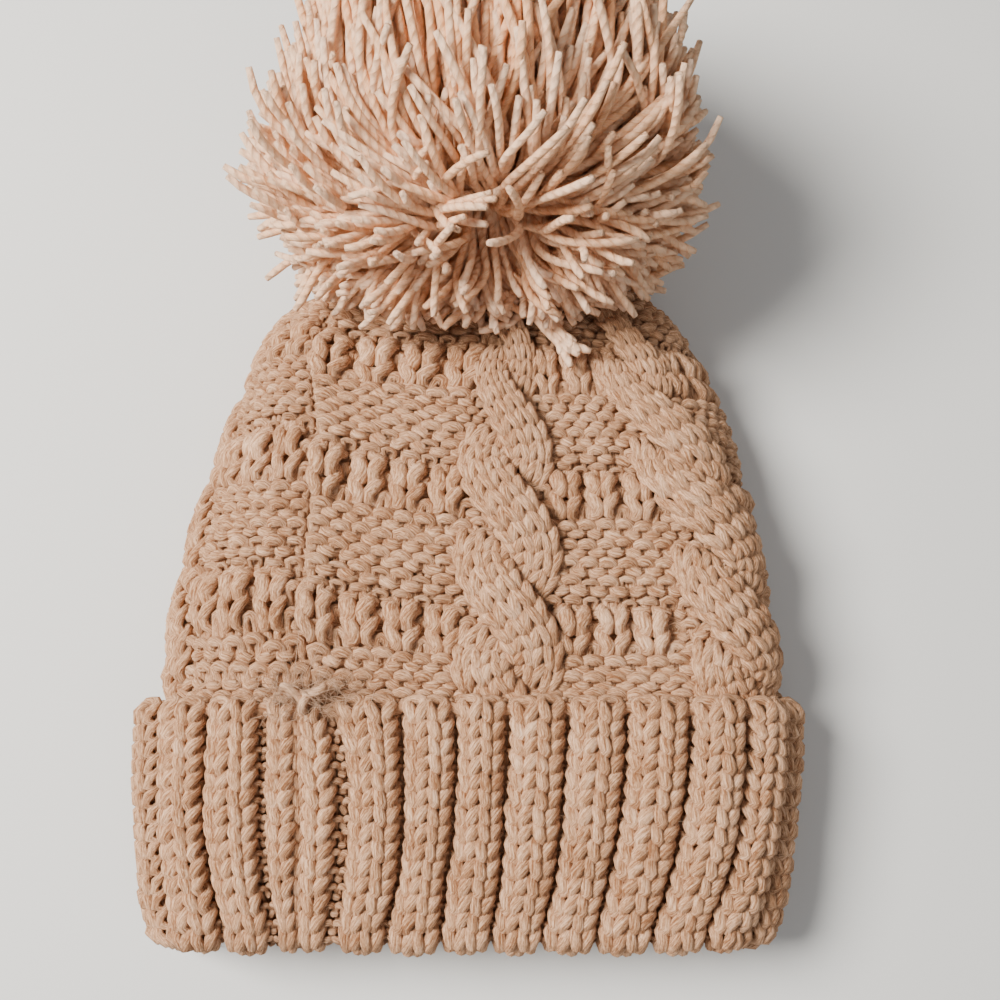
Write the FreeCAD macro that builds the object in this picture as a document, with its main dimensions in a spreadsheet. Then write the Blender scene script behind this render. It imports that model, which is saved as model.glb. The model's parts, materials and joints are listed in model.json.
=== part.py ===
import FreeCAD, Part
import math
import os
import Sketcher

# A chunky cable-knit beanie with a turned-up ribbed cuff and a large yarn pom pom, lying flat
# on its back.  +Y runs from the brim to the pom, +Z is up, and the origin is the middle of the
# footprint on the surface that the beanie lies on.  Every length is in millimetres.

doc = FreeCAD.newDocument("pom_pom_beanie")
sheet = doc.addObject("Spreadsheet::Sheet", "Sheet")
sheet_row = 0


def add_sizes(sizes):
    """Write named sizes to the spreadsheet, one alias to a row."""
    global sheet_row
    for alias, value in sizes.items():
        sheet_row += 1
        cell = "B%d" % sheet_row
        sheet.set("A%d" % sheet_row, alias)
        sheet.set(cell, str(value))
        sheet.setAlias(cell, alias)


def add_station(name, y, half_width, middle, base, top, edge):
    """A cross-section of the flattened tube: where it is and how wide and tall it lies."""
    add_sizes({
        name + "_y": y,
        name + "_half_width": half_width,
        name + "_middle": middle,
        name + "_base": base,
        name + "_top": top,
        name + "_edge": edge,
    })


# ---- driving sizes -------------------------------------------------------------------------

add_sizes({
    "wall": 5.0,                # one layer of chunky knitting
    "cuff_layer": 5.6,          # the turned-up layer of rib
    "cuff_inner_face": 5.8,     # the inner layer's outer face, just clear of the turned-up layer
    "cuff_mouth_wall": 11.2,    # both cuff layers together
    "cast_inner_face": 5.4,     # the same two faces where the inner layer meets the body
    "cast_mouth_wall": 10.4,
    "fold_mid_wall": 9.6,
    "fold_lip_wall": 6.6,
    "edge_inset": 0.8,          # the cast-on edge stands a little inside the cuff's outer face
    "edge_wall": 4.6,
    "cable_sink": 3.0,          # how far a cable's blank reaches into the panel before the cut
    "cable_side": 1.2,
    "cable_rise": 3.6,
    "cable_half_width": 15.0,
    "back_cable_blank": 8.0,
    "seam_half_width": 2.4,
    "seam_side": 0.4,
    "seam_rise": 1.6,
    "knot_radius": 3.2,
    "tip_x": 4.4,               # where the pom is tied to the gathered crown
    "tip_y": 72.3,
    "tip_z": 24.0,
    "shank_radius": 2.5,
    "shank_start_y": 56.0,
    "shank_end_y": 71.3,
    "anchor_radius": 6.0,
    "gather_yarn_radius": 1.6,
    "gather_yarn_y": 65.4,
    "gather_ring_radius": 11.0,
    "pom_radius": 66.0,
    "pom_lean": 61.3,           # degrees, from +Y up to the line from the tie to the pom's middle
    "pom_reach": 47.9,          # from the tie's pivot to the pom's middle
    "pom_recess": 11.5,         # from the pivot to the pom's underside, beside the crown
    "pom_bore": 8.3,
    "binding_radius": 10.7,
    "binding_half_length": 11.2,
    "binding_play": 0.3,
    "tie_radius": 2.5,
    "loop_start": 4.0,
    "loop_end": 9.0,
    "neck_start": 9.4,
    "neck_end": 36.0,
    "tuft_count": 10,
})

# Cuff, from the fold (lip) up to its top edge, and the cast-on edge above it.
add_station("lip", -161.3, 94.0, 0.0, 3.6, 35.0, 12.0)
add_station("roll", -158.6, 97.4, 0.0, 0.9, 38.4, 13.0)
add_station("fold", -154.0, 99.0, 0.0, 0.0, 40.0, 14.0)
add_station("cuff", -122.0, 107.6, 0.0, 0.0, 45.0, 15.0)
add_station("top", -86.0, 109.2, 0.0, 0.0, 46.4, 15.0)
add_station("cast", -82.6, 108.4, 0.0, 0.8, 45.6, 14.6)

# Body of the hat, from under the cuff to the gathered crown.
add_station("waist", -82.6, 100.6, 3.2, 5.8, 40.4, 12.0)
add_station("low", -56.0, 99.4, 4.2, 4.0, 42.0, 12.0)
add_station("mid", -18.0, 94.6, 4.1, 4.0, 42.0, 12.0)
add_station("high", 18.6, 86.8, 6.2, 4.0, 40.0, 12.0)
add_station("crown", 45.0, 75.8, 3.6, 4.0, 36.0, 12.0)
add_station("shoulder", 55.0, 60.0, 4.0, 5.0, 35.0, 12.0)
add_station("pucker", 61.2, 34.0, 4.4, 9.0, 34.0, 11.0)
add_station("nub", 63.3, 9.0, 4.4, 15.6, 32.4, 8.2)
add_station("tip_end", 69.3, 9.0, 4.4, 15.6, 32.4, 8.2)

BODY_STATIONS = ["waist", "low", "mid", "high", "crown"]
CROWN_STATIONS = ["crown", "shoulder", "pucker", "nub"]
NECK_STATIONS = ["nub", "tip_end"]
CUFF_STATIONS = ["fold", "cuff", "top"]
CAST_STATIONS = ["top", "cast"]
FOLD_STATIONS = ["lip", "roll", "fold"]

# Middle lines of what runs up the front: x at each body station.
FRONT_LINES = {
    "cable_1": [13.0, 13.0, 13.0, 12.6, 12.0],
    "cable_2": [82.0, 78.0, 70.0, 60.0, 49.0],
    "side_seam": [-47.0, -49.0, -47.0, -44.0, -43.0],
}
CUFF_SEAM_LINE = [-47.0, -52.0, -49.0]

# Middle lines of the cables on the back: x at the cuff and at the crown.
BACK_CABLES = {
    "cable_3": [54.0, 40.0],
    "cable_4": [-19.0, -12.0],
    "cable_5": [-82.0, -56.0],
}
add_sizes({"back_cable_start": -80.0, "back_cable_end": 45.0})
for line_name, line in FRONT_LINES.items():
    add_sizes({"%s_at_%s" % (line_name, s): x for s, x in zip(BODY_STATIONS, line)})
add_sizes({"cuff_seam_at_%s" % s: x for s, x in zip(CUFF_STATIONS, CUFF_SEAM_LINE)})
for line_name, (x_low, x_high) in BACK_CABLES.items():
    add_sizes({line_name + "_low": x_low, line_name + "_high": x_high})

# How far each tuft's underside lies from the pivot, along the pom's axis: the tufts that face
# the crown stop short of it, and those on the far side reach down to the surface.
TUFT_UNDERSIDES = [11.5, 11.5, 11.5, 9.5, 0.0, -10.0, 0.0, 9.5, 11.5, 11.5]
add_sizes({"underside_%s" % chr(ord("a") + i): s for i, s in enumerate(TUFT_UNDERSIDES)})
doc.recompute()


def size(alias):
    return float(sheet.get(alias))


# ---- shared makers -------------------------------------------------------------------------

def new_body(label):
    body = doc.addObject("PartDesign::Body", label)
    body.Label = label
    return body


def new_sketch(body, label, plane_role):
    """A sketch on one of its own body's origin planes."""
    sketch = body.newObject("Sketcher::SketchObject", label)
    plane = [f for f in body.Origin.OriginFeatures if f.Role == plane_role][0]
    sketch.AttachmentSupport = [(plane, "")]
    sketch.MapMode = "FlatFace"
    return sketch


def bind(target, prop, expression):
    target.setExpression(prop, expression)


def add_size_constraint(sketch, name, constraint, expression):
    index = sketch.addConstraint(constraint)
    sketch.renameConstraint(index, name)
    bind(sketch, "Constraints." + name, expression)


def arc(centre, radius, start_deg, end_deg):
    circle = Part.Circle(centre, FreeCAD.Vector(0, 0, 1), radius)
    return Part.ArcOfCircle(circle, math.radians(start_deg), math.radians(end_deg))


def flattened_section(body, station, inset):
    """The tube's outline at a station, drawn that much inside its outer face."""
    inset_value = 0.0 if inset == "0" else size(inset.replace("Sheet.", ""))
    half = size(station + "_half_width") - inset_value
    height = size(station + "_top") - size(station + "_base") - 2 * inset_value
    edge = size(station + "_edge") - inset_value
    shoulder = height - edge
    sketch = new_sketch(body, "%s_%s" % (body.Name, station), "XZ_Plane")
    bind(sketch, "AttachmentOffset.Base.x", "Sheet.%s_middle" % station)
    bind(sketch, "AttachmentOffset.Base.y", "Sheet.%s_base + %s" % (station, inset))
    bind(sketch, "AttachmentOffset.Base.z", "-Sheet.%s_y" % station)
    point = FreeCAD.Vector
    outline = [
        Part.LineSegment(point(edge - half, 0, 0), point(half - edge, 0, 0)),
        arc(point(half - edge, edge, 0), edge, -90, 0),
        arc(point(half - shoulder, edge, 0), shoulder, 0, 90),
        Part.LineSegment(point(half - shoulder, height, 0), point(shoulder - half, height, 0)),
        arc(point(shoulder - half, edge, 0), shoulder, 90, 180),
        arc(point(edge - half, edge, 0), edge, 180, 270),
    ]
    sketch.addGeometry(outline, False)
    for i in range(6):
        sketch.addConstraint(Sketcher.Constraint("Tangent", i, 2, (i + 1) % 6, 1))
    sketch.addConstraint(Sketcher.Constraint("Symmetric", 0, 1, 0, 2, -2))
    sketch.addConstraint(Sketcher.Constraint("Symmetric", 3, 1, 3, 2, -2))
    sketch.addConstraint(Sketcher.Constraint("PointOnObject", 0, 1, -1))
    sketch.addConstraint(Sketcher.Constraint("Equal", 1, 5))
    sketch.addConstraint(Sketcher.Constraint("Horizontal", 1, 3, 2, 3))
    add_size_constraint(sketch, "edge", Sketcher.Constraint("Radius", 1, edge),
                        "Sheet.%s_edge - %s" % (station, inset))
    add_size_constraint(sketch, "half_width",
                        Sketcher.Constraint("DistanceX", -1, 1, 1, 2, half),
                        "Sheet.%s_half_width - %s" % (station, inset))
    add_size_constraint(sketch, "height",
                        Sketcher.Constraint("DistanceY", -1, 1, 3, 1, height),
                        "Sheet.%s_top - Sheet.%s_base - 2 * (%s)" % (station, station, inset))
    return sketch


def loft(body, sections, kind, ruled=False):
    feature = body.newObject("PartDesign::" + kind, "%s_%s" % (body.Name, kind))
    feature.Profile = sections[0]
    feature.Sections = sections[1:]
    feature.Ruled = ruled
    return feature


def tube_blank(label, stations, inset="0", ruled=False):
    """A solid that fills the flattened tube between stations."""
    body = new_body(label)
    loft(body, [flattened_section(body, s, inset) for s in stations], "AdditiveLoft", ruled)
    return body


def tube_wall(label, stations, outer_insets, inner_insets, ruled=False):
    """A ring of knitting: the tube between two insets of its outline."""
    body = new_body(label)
    add_tube_wall(body, stations, outer_insets, inner_insets, ruled)
    return body


def add_tube_wall(body, stations, outer_insets, inner_insets, ruled=False):
    outer = [flattened_section(body, s, inset) for s, inset in zip(stations, outer_insets)]
    loft(body, outer, "AdditiveLoft", ruled)
    inner = [flattened_section(body, s, inset) for s, inset in zip(stations, inner_insets)]
    loft(body, inner, "SubtractiveLoft", ruled)


def strip_section(body, station, line, half_width, side, rise):
    """A crowned strip across the tube's top face, sunk into it so that a cut makes it fit."""
    half = size(half_width)
    low = size("cable_sink") + size(side)
    lift = size(rise)
    radius = (half ** 2 + lift ** 2) / (2 * lift)
    angle = math.degrees(math.asin(half / radius))
    sketch = new_sketch(body, "%s_%s" % (body.Name, station), "XZ_Plane")
    bind(sketch, "AttachmentOffset.Base.x", "Sheet.%s_at_%s" % (line, station))
    bind(sketch, "AttachmentOffset.Base.y", "Sheet.%s_top - Sheet.cable_sink" % station)
    bind(sketch, "AttachmentOffset.Base.z", "-Sheet.%s_y" % station)
    point = FreeCAD.Vector
    outline = [
        Part.LineSegment(point(-half, 0, 0), point(half, 0, 0)),
        Part.LineSegment(point(half, 0, 0), point(half, low, 0)),
        arc(point(0, low + lift - radius, 0), radius, 90 - angle, 90 + angle),
        Part.LineSegment(point(-half, low, 0), point(-half, 0, 0)),
    ]
    sketch.addGeometry(outline, False)
    for i in range(4):
        sketch.addConstraint(Sketcher.Constraint("Coincident", i, 2, (i + 1) % 4, 1))
    sketch.addConstraint(Sketcher.Constraint("PointOnObject", 0, 1, -1))
    sketch.addConstraint(Sketcher.Constraint("Symmetric", 0, 1, 0, 2, -2))
    sketch.addConstraint(Sketcher.Constraint("Vertical", 1))
    sketch.addConstraint(Sketcher.Constraint("Vertical", 3))
    sketch.addConstraint(Sketcher.Constraint("PointOnObject", 2, 3, -2))
    add_size_constraint(sketch, "half_width",
                        Sketcher.Constraint("DistanceX", -1, 1, 0, 2, half),
                        "Sheet." + half_width)
    add_size_constraint(sketch, "side_height",
                        Sketcher.Constraint("DistanceY", 1, 1, 1, 2, low),
                        "Sheet.cable_sink + Sheet." + side)
    add_size_constraint(sketch, "crown", Sketcher.Constraint("Radius", 2, radius),
                        "(Sheet.{0} ^ 2 + Sheet.{1} ^ 2) / (2 * Sheet.{1})".format(half_width, rise))
    return sketch


def cut(label, base, tool):
    part = doc.addObject("Part::Cut", label)
    part.Label = label
    part.Base = base
    part.Tool = tool
    return part


def front_strip(label, line, stations, blank, half_width, side, rise):
    """A raised strip that follows a line up the front, fitted to what it lies on."""
    body = new_body(label + "_blank")
    sections = [strip_section(body, s, line, half_width, side, rise) for s in stations]
    loft(body, sections, "AdditiveLoft")
    return cut(label, body, blank)


def back_strip(label, blank):
    """A cable pressed flat between the panel and the surface that the hat lies on."""
    body = new_body(label + "_blank")
    sketch = new_sketch(body, label + "_outline", "XY_Plane")
    half = size("cable_half_width")
    low, high = size(label + "_low"), size(label + "_high")
    start, end = size("back_cable_start"), size("back_cable_end")
    corners = [(low - half, start), (low + half, start), (high + half, end), (high - half, end)]
    points = [FreeCAD.Vector(x, y, 0) for x, y in corners]
    for i in range(4):
        sketch.addGeometry(Part.LineSegment(points[i], points[(i + 1) % 4]), False)
    for i in range(4):
        sketch.addConstraint(Sketcher.Constraint("Coincident", i, 2, (i + 1) % 4, 1))
    edges = [("low", "-"), ("low", "+"), ("high", "+"), ("high", "-")]
    ends = ["start", "start", "end", "end"]
    for i in range(4):
        add_size_constraint(sketch, "corner_x_%d" % i,
                            Sketcher.Constraint("DistanceX", -1, 1, i, 1, corners[i][0]),
                            "Sheet.%s_%s %s Sheet.cable_half_width" % ((label,) + edges[i]))
        add_size_constraint(sketch, "corner_y_%d" % i,
                            Sketcher.Constraint("DistanceY", -1, 1, i, 1, corners[i][1]),
                            "Sheet.back_cable_" + ends[i])
    pad = body.newObject("PartDesign::Pad", label + "_pad")
    pad.Profile = sketch
    bind(pad, "Length", "Sheet.back_cable_blank")
    return cut(label, body, blank)


# ---- the hat: panel, cables and crown ------------------------------------------------------

def make_hat_body():
    outer = tube_blank("panel_blank", BODY_STATIONS)
    count = len(BODY_STATIONS)
    panel = tube_wall("body_panel", BODY_STATIONS, ["0"] * count, ["Sheet.wall"] * count)
    parts = [panel]
    for label in ("cable_1", "cable_2"):
        parts.append(front_strip(label, label, BODY_STATIONS, outer,
                                 "cable_half_width", "cable_side", "cable_rise"))
    parts.append(front_strip("side_seam", "side_seam", BODY_STATIONS, outer,
                             "seam_half_width", "seam_side", "seam_rise"))
    for label in BACK_CABLES:
        parts.append(back_strip(label, outer))
    return parts


def make_crown():
    """The gathered top: rounded shoulders drawn in to a short nub that the tie passes through."""
    body = new_body("crown_gather")
    loft(body, [flattened_section(body, s, "0") for s in CROWN_STATIONS], "AdditiveLoft", True)
    neck = [flattened_section(body, s, "0") for s in NECK_STATIONS]
    loft(body, neck, "AdditiveLoft", True)
    hollow = [flattened_section(body, s, "Sheet.wall") for s in CROWN_STATIONS[:3]]
    loft(body, hollow, "SubtractiveLoft", True)
    sketch = new_sketch(body, "tie_hole", "XZ_Plane")
    bind(sketch, "AttachmentOffset.Base.x", "Sheet.tip_x")
    bind(sketch, "AttachmentOffset.Base.y", "Sheet.tip_z")
    bind(sketch, "AttachmentOffset.Base.z", "-Sheet.tip_end_y")
    circle = Part.Circle(FreeCAD.Vector(0, 0, 0), FreeCAD.Vector(0, 0, 1), size("shank_radius"))
    sketch.addGeometry(circle, False)
    sketch.addConstraint(Sketcher.Constraint("Coincident", 0, 3, -1, 1))
    add_size_constraint(sketch, "hole", Sketcher.Constraint("Radius", 0, size("shank_radius")),
                        "Sheet.shank_radius")
    pocket = body.newObject("PartDesign::Pocket", "tie_pocket")
    pocket.Profile = sketch
    pocket.Reversed = True
    bind(pocket, "Length", "Sheet.tip_end_y - Sheet.shank_start_y")
    return [body]


# ---- the cuff ------------------------------------------------------------------------------

def make_cuff():
    """Two layers of rib joined by the fold at the brim, edged by the cast-on row."""
    outer_count = len(CUFF_STATIONS)
    outer = tube_wall("cuff_outer", CUFF_STATIONS, ["0"] * outer_count,
                      ["Sheet.cuff_layer"] * outer_count)
    inner = tube_wall("cuff_inner", CUFF_STATIONS, ["Sheet.cuff_inner_face"] * outer_count,
                      ["Sheet.cuff_mouth_wall"] * outer_count)
    add_tube_wall(inner, CAST_STATIONS, ["Sheet.cuff_inner_face", "Sheet.cast_inner_face"],
                  ["Sheet.cuff_mouth_wall", "Sheet.cast_mouth_wall"])
    fold = tube_wall("cuff_fold", FOLD_STATIONS, ["0"] * 3,
                     ["Sheet.fold_lip_wall", "Sheet.fold_mid_wall", "Sheet.cuff_mouth_wall"], True)
    cast = tube_wall("cast_on_edge", CAST_STATIONS, ["Sheet.edge_inset", "Sheet.edge_inset"],
                     ["Sheet.edge_wall", "Sheet.edge_wall"])
    blank = tube_blank("cuff_blank", CUFF_STATIONS)
    seam = front_strip("cuff_seam", "cuff_seam", CUFF_STATIONS, blank,
                       "seam_half_width", "seam_side", "seam_rise")
    knot = doc.addObject("Part::Sphere", "seam_knot")
    knot.Label = "seam_knot"
    bind(knot, "Radius", "Sheet.knot_radius")
    bind(knot, "Placement.Base.x", "Sheet.cuff_seam_at_top")
    bind(knot, "Placement.Base.y", "Sheet.cast_y - Sheet.wall / 2")
    bind(knot, "Placement.Base.z", "Sheet.top_top + Sheet.seam_side + Sheet.seam_rise + Sheet.knot_radius")
    return [outer, inner, fold, cast, seam, knot]


# ---- the tie and its knot ------------------------------------------------------------------

def pom_placement(part, along):
    """Stand a part on the line from the tie's pivot to the pom's middle, that far along it."""
    lean = "Sheet.pom_lean"
    bind(part, "Placement.Base.x", "Sheet.tip_x")
    bind(part, "Placement.Base.y", "Sheet.tip_y + (%s) * cos(%s * 1 deg)" % (along, lean))
    bind(part, "Placement.Base.z", "Sheet.tip_z + (%s) * sin(%s * 1 deg)" % (along, lean))
    part.Placement.Rotation = FreeCAD.Rotation(FreeCAD.Vector(1, 0, 0), 1.0)
    bind(part, "Placement.Rotation.Angle", "(%s - 90) * 1 deg" % lean)


def make_tie():
    shank = doc.addObject("Part::Cylinder", "tie_shank")
    bind(shank, "Radius", "Sheet.shank_radius")
    bind(shank, "Height", "Sheet.shank_end_y - Sheet.shank_start_y")
    shank.Placement.Rotation = FreeCAD.Rotation(FreeCAD.Vector(1, 0, 0), -90)
    bind(shank, "Placement.Base.x", "Sheet.tip_x")
    bind(shank, "Placement.Base.y", "Sheet.shank_start_y")
    bind(shank, "Placement.Base.z", "Sheet.tip_z")

    anchor_ball = doc.addObject("Part::Sphere", "anchor_ball")
    bind(anchor_ball, "Radius", "Sheet.anchor_radius")
    bind(anchor_ball, "Placement.Base.x", "Sheet.tip_x")
    bind(anchor_ball, "Placement.Base.y", "Sheet.shank_start_y - Sheet.anchor_radius + 1")
    bind(anchor_ball, "Placement.Base.z", "Sheet.tip_z")
    anchor = cut("anchor_knot", anchor_ball, shank)

    gather = doc.addObject("Part::Torus", "gather_yarn")
    bind(gather, "Radius1", "Sheet.gather_ring_radius")
    bind(gather, "Radius2", "Sheet.gather_yarn_radius")
    gather.Placement.Rotation = FreeCAD.Rotation(FreeCAD.Vector(1, 0, 0), -90)
    bind(gather, "Placement.Base.x", "Sheet.tip_x")
    bind(gather, "Placement.Base.y", "Sheet.gather_yarn_y")
    bind(gather, "Placement.Base.z", "Sheet.tip_z")

    moving = []
    for label, start, end in (("tie_loop", "loop_start", "loop_end"),
                              ("tie_neck", "neck_start", "neck_end")):
        yarn = doc.addObject("Part::Cylinder", label)
        bind(yarn, "Radius", "Sheet.tie_radius")
        bind(yarn, "Height", "Sheet.%s - Sheet.%s" % (end, start))
        pom_placement(yarn, "Sheet." + start)
        moving.append(yarn)
    for part in [shank, gather] + moving:
        part.Label = part.Name
    return [shank, anchor, gather] + moving


# ---- the pom -------------------------------------------------------------------------------

def make_pom():
    binding = doc.addObject("Part::Cylinder", "pom_binding")
    binding.Label = "pom_binding"
    bind(binding, "Radius", "Sheet.binding_radius")
    bind(binding, "Height", "2 * Sheet.binding_half_length")
    pom_placement(binding, "Sheet.pom_reach - Sheet.binding_half_length")
    return [binding] + [make_tuft(i) for i in range(len(TUFT_UNDERSIDES))]


def make_tuft(index):
    """One wedge of strands, turned about the pom's axis and hollowed for the binding."""
    label = "pom_tuft_%d" % (index + 1)
    underside = "underside_%s" % chr(ord("a") + index)
    low = size(underside)
    reach, radius = size("pom_reach"), size("pom_radius")
    bore, waist = size("pom_bore"), size("binding_radius") + size("binding_play")
    grip = size("binding_half_length") + size("binding_play")
    rim = math.sqrt(radius ** 2 - (reach - low) ** 2)
    rim_angle = math.degrees(math.asin((low - reach) / radius))
    body = new_body(label)
    sketch = new_sketch(body, label + "_profile", "XZ_Plane")
    point = FreeCAD.Vector
    corners = [
        point(bore, size("pom_recess"), 0),
        point(rim, low, 0),
        point(0, reach + radius, 0),
        point(0, reach + grip, 0),
        point(waist, reach + grip, 0),
        point(waist, reach - grip, 0),
        point(bore, reach - grip, 0),
    ]
    outline = [
        Part.LineSegment(corners[0], corners[1]),
        arc(point(0, reach, 0), radius, rim_angle, 90),
        Part.LineSegment(corners[2], corners[3]),
        Part.LineSegment(corners[3], corners[4]),
        Part.LineSegment(corners[4], corners[5]),
        Part.LineSegment(corners[5], corners[6]),
        Part.LineSegment(corners[6], corners[0]),
    ]
    sketch.addGeometry(outline, False)
    for i in range(7):
        sketch.addConstraint(Sketcher.Constraint("Coincident", i, 2, (i + 1) % 7, 1))
    for line, kind in ((3, "Horizontal"), (4, "Vertical"), (5, "Horizontal"), (6, "Vertical")):
        sketch.addConstraint(Sketcher.Constraint(kind, line))
    sketch.addConstraint(Sketcher.Constraint("PointOnObject", 1, 3, -2))
    sketch.addConstraint(Sketcher.Constraint("PointOnObject", 2, 1, -2))
    sketch.addConstraint(Sketcher.Constraint("PointOnObject", 2, 2, -2))
    distances = [
        ("bore_radius", "DistanceX", 0, 1, bore, "Sheet.pom_bore"),
        ("recess", "DistanceY", 0, 1, size("pom_recess"), "Sheet.pom_recess"),
        ("underside", "DistanceY", 0, 2, low, "Sheet." + underside),
        ("middle", "DistanceY", 1, 3, reach, "Sheet.pom_reach"),
        ("waist_radius", "DistanceX", 4, 1, waist, "Sheet.binding_radius + Sheet.binding_play"),
        ("waist_top", "DistanceY", 4, 1, reach + grip,
         "Sheet.pom_reach + Sheet.binding_half_length + Sheet.binding_play"),
        ("waist_foot", "DistanceY", 4, 2, reach - grip,
         "Sheet.pom_reach - Sheet.binding_half_length - Sheet.binding_play"),
    ]
    for name, kind, edge, end, value, expression in distances:
        add_size_constraint(sketch, name,
                            Sketcher.Constraint(kind, -1, 1, edge, end, value), expression)
    add_size_constraint(sketch, "strand_reach", Sketcher.Constraint("Radius", 1, radius),
                        "Sheet.pom_radius")
    turn = body.newObject("PartDesign::Revolution", label + "_turn")
    turn.Profile = sketch
    turn.ReferenceAxis = (sketch, ["V_Axis"])
    turn.Midplane = True
    bind(turn, "Angle", "360 / Sheet.tuft_count")
    lean = FreeCAD.Rotation(FreeCAD.Vector(1, 0, 0), size("pom_lean") - 90)
    spin = FreeCAD.Rotation(FreeCAD.Vector(0, 0, 1), index * 360 / size("tuft_count") - 90)
    bind(body, "Placement.Base.x", "Sheet.tip_x")
    bind(body, "Placement.Base.y", "Sheet.tip_y")
    bind(body, "Placement.Base.z", "Sheet.tip_z")
    body.Placement.Rotation = lean.multiply(spin)
    return body


# ---- build, check and write ----------------------------------------------------------------

nodes = make_hat_body() + make_crown() + make_cuff() + make_tie() + make_pom()
doc.recompute()

for thing in doc.Objects:
    failed = [s for s in thing.State if s in ("Invalid", "Error")]
    if failed:
        raise RuntimeError("%s did not build: %s" % (thing.Name, failed))
for node in nodes:
    if node.Shape.isNull() or not node.Shape.isValid():
        raise RuntimeError("%s has no valid shape" % node.Label)

os.makedirs("parts", exist_ok=True)
for node in nodes:
    node.Shape.exportStep("parts/%s.step" % node.Label)
    box = node.Shape.BoundBox
    print("%-14s solids %d  volume %9.0f  x %7.1f %7.1f  y %7.1f %7.1f  z %6.1f %6.1f" % (
        node.Label, len(node.Shape.Solids), node.Shape.Volume,
        box.XMin, box.XMax, box.YMin, box.YMax, box.ZMin, box.ZMax))
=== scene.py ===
import json
import math
import bpy
import numpy as np
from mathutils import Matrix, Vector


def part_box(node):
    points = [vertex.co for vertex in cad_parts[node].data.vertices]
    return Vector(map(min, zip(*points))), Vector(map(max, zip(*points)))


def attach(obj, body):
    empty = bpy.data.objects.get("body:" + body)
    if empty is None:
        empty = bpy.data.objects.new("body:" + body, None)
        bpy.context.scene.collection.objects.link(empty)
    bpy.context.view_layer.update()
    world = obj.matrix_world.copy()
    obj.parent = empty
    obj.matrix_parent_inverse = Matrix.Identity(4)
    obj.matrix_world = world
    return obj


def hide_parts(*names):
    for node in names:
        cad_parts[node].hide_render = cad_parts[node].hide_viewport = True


# A chunky cable-knit beanie with a turned-up 2x2 rib cuff and a loose yarn pom pom.  Every course
# is modelled as the yarn runs, loop by loop.  Lengths are in millimetres until a mesh is made.

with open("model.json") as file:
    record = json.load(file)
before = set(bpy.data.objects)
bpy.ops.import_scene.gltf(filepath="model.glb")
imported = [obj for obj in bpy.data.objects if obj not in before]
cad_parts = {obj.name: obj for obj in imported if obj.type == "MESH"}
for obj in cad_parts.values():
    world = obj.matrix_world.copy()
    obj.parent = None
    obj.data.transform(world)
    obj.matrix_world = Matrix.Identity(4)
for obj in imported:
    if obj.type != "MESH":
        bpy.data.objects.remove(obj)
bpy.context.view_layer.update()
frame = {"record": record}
MM = 0.001
TAU = 2 * math.pi
UP = np.array([0.0, 0.0, 1.0])


def node_box(name):
    low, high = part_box(name)
    return np.array(low) / MM, np.array(high) / MM


def joint(name):
    return [j for j in frame["record"]["behaviour"]["joints"] if j["name"] == name][0]


PIVOT = np.array(joint("pom_nod")["pos_m"]) / MM
POM_AXIS = np.array(joint("pom_twist")["axis"])
tuft_boxes = [node_box("pom_tuft_%d" % (i + 1)) for i in range(10)]
POM_LOW = np.min([b[0] for b in tuft_boxes], axis=0)
POM_HIGH = np.max([b[1] for b in tuft_boxes], axis=0)
POM_RADIUS = (POM_HIGH[2] - POM_LOW[2]) / 2
POM_MIDDLE = np.array([PIVOT[0], POM_HIGH[1] - POM_RADIUS, POM_HIGH[2] - POM_RADIUS])
CUFF_TOP_Y = node_box("cast_on_edge")[1][1]


# ---- the flattened tube ----

def vectors(*parts):
    return np.stack(np.broadcast_arrays(*parts), axis=-1)


def smooth_curve(x, knots, values):
    """A cubic through the knots that doesn't overshoot between level ones."""
    knots = np.asarray(knots, float)
    values = np.asarray(values, float)
    steps = np.diff(knots)
    slopes = np.diff(values) / steps
    inner = np.where(slopes[:-1] * slopes[1:] > 0,
                     2 * slopes[:-1] * slopes[1:] / (slopes[:-1] + slopes[1:] + 1e-12), 0.0)
    tangents = np.concatenate([[slopes[0]], inner, [slopes[-1]]])
    x = np.clip(x, knots[0], knots[-1])
    i = np.clip(np.searchsorted(knots, x, side="right") - 1, 0, len(steps) - 1)
    t = (x - knots[i]) / steps[i]
    return ((1 + 2 * t) * (1 - t) ** 2 * values[i] + t * (1 - t) ** 2 * steps[i] * tangents[i]
            + t * t * (3 - 2 * t) * values[i + 1] + t * t * (t - 1) * steps[i] * tangents[i + 1])


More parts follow.
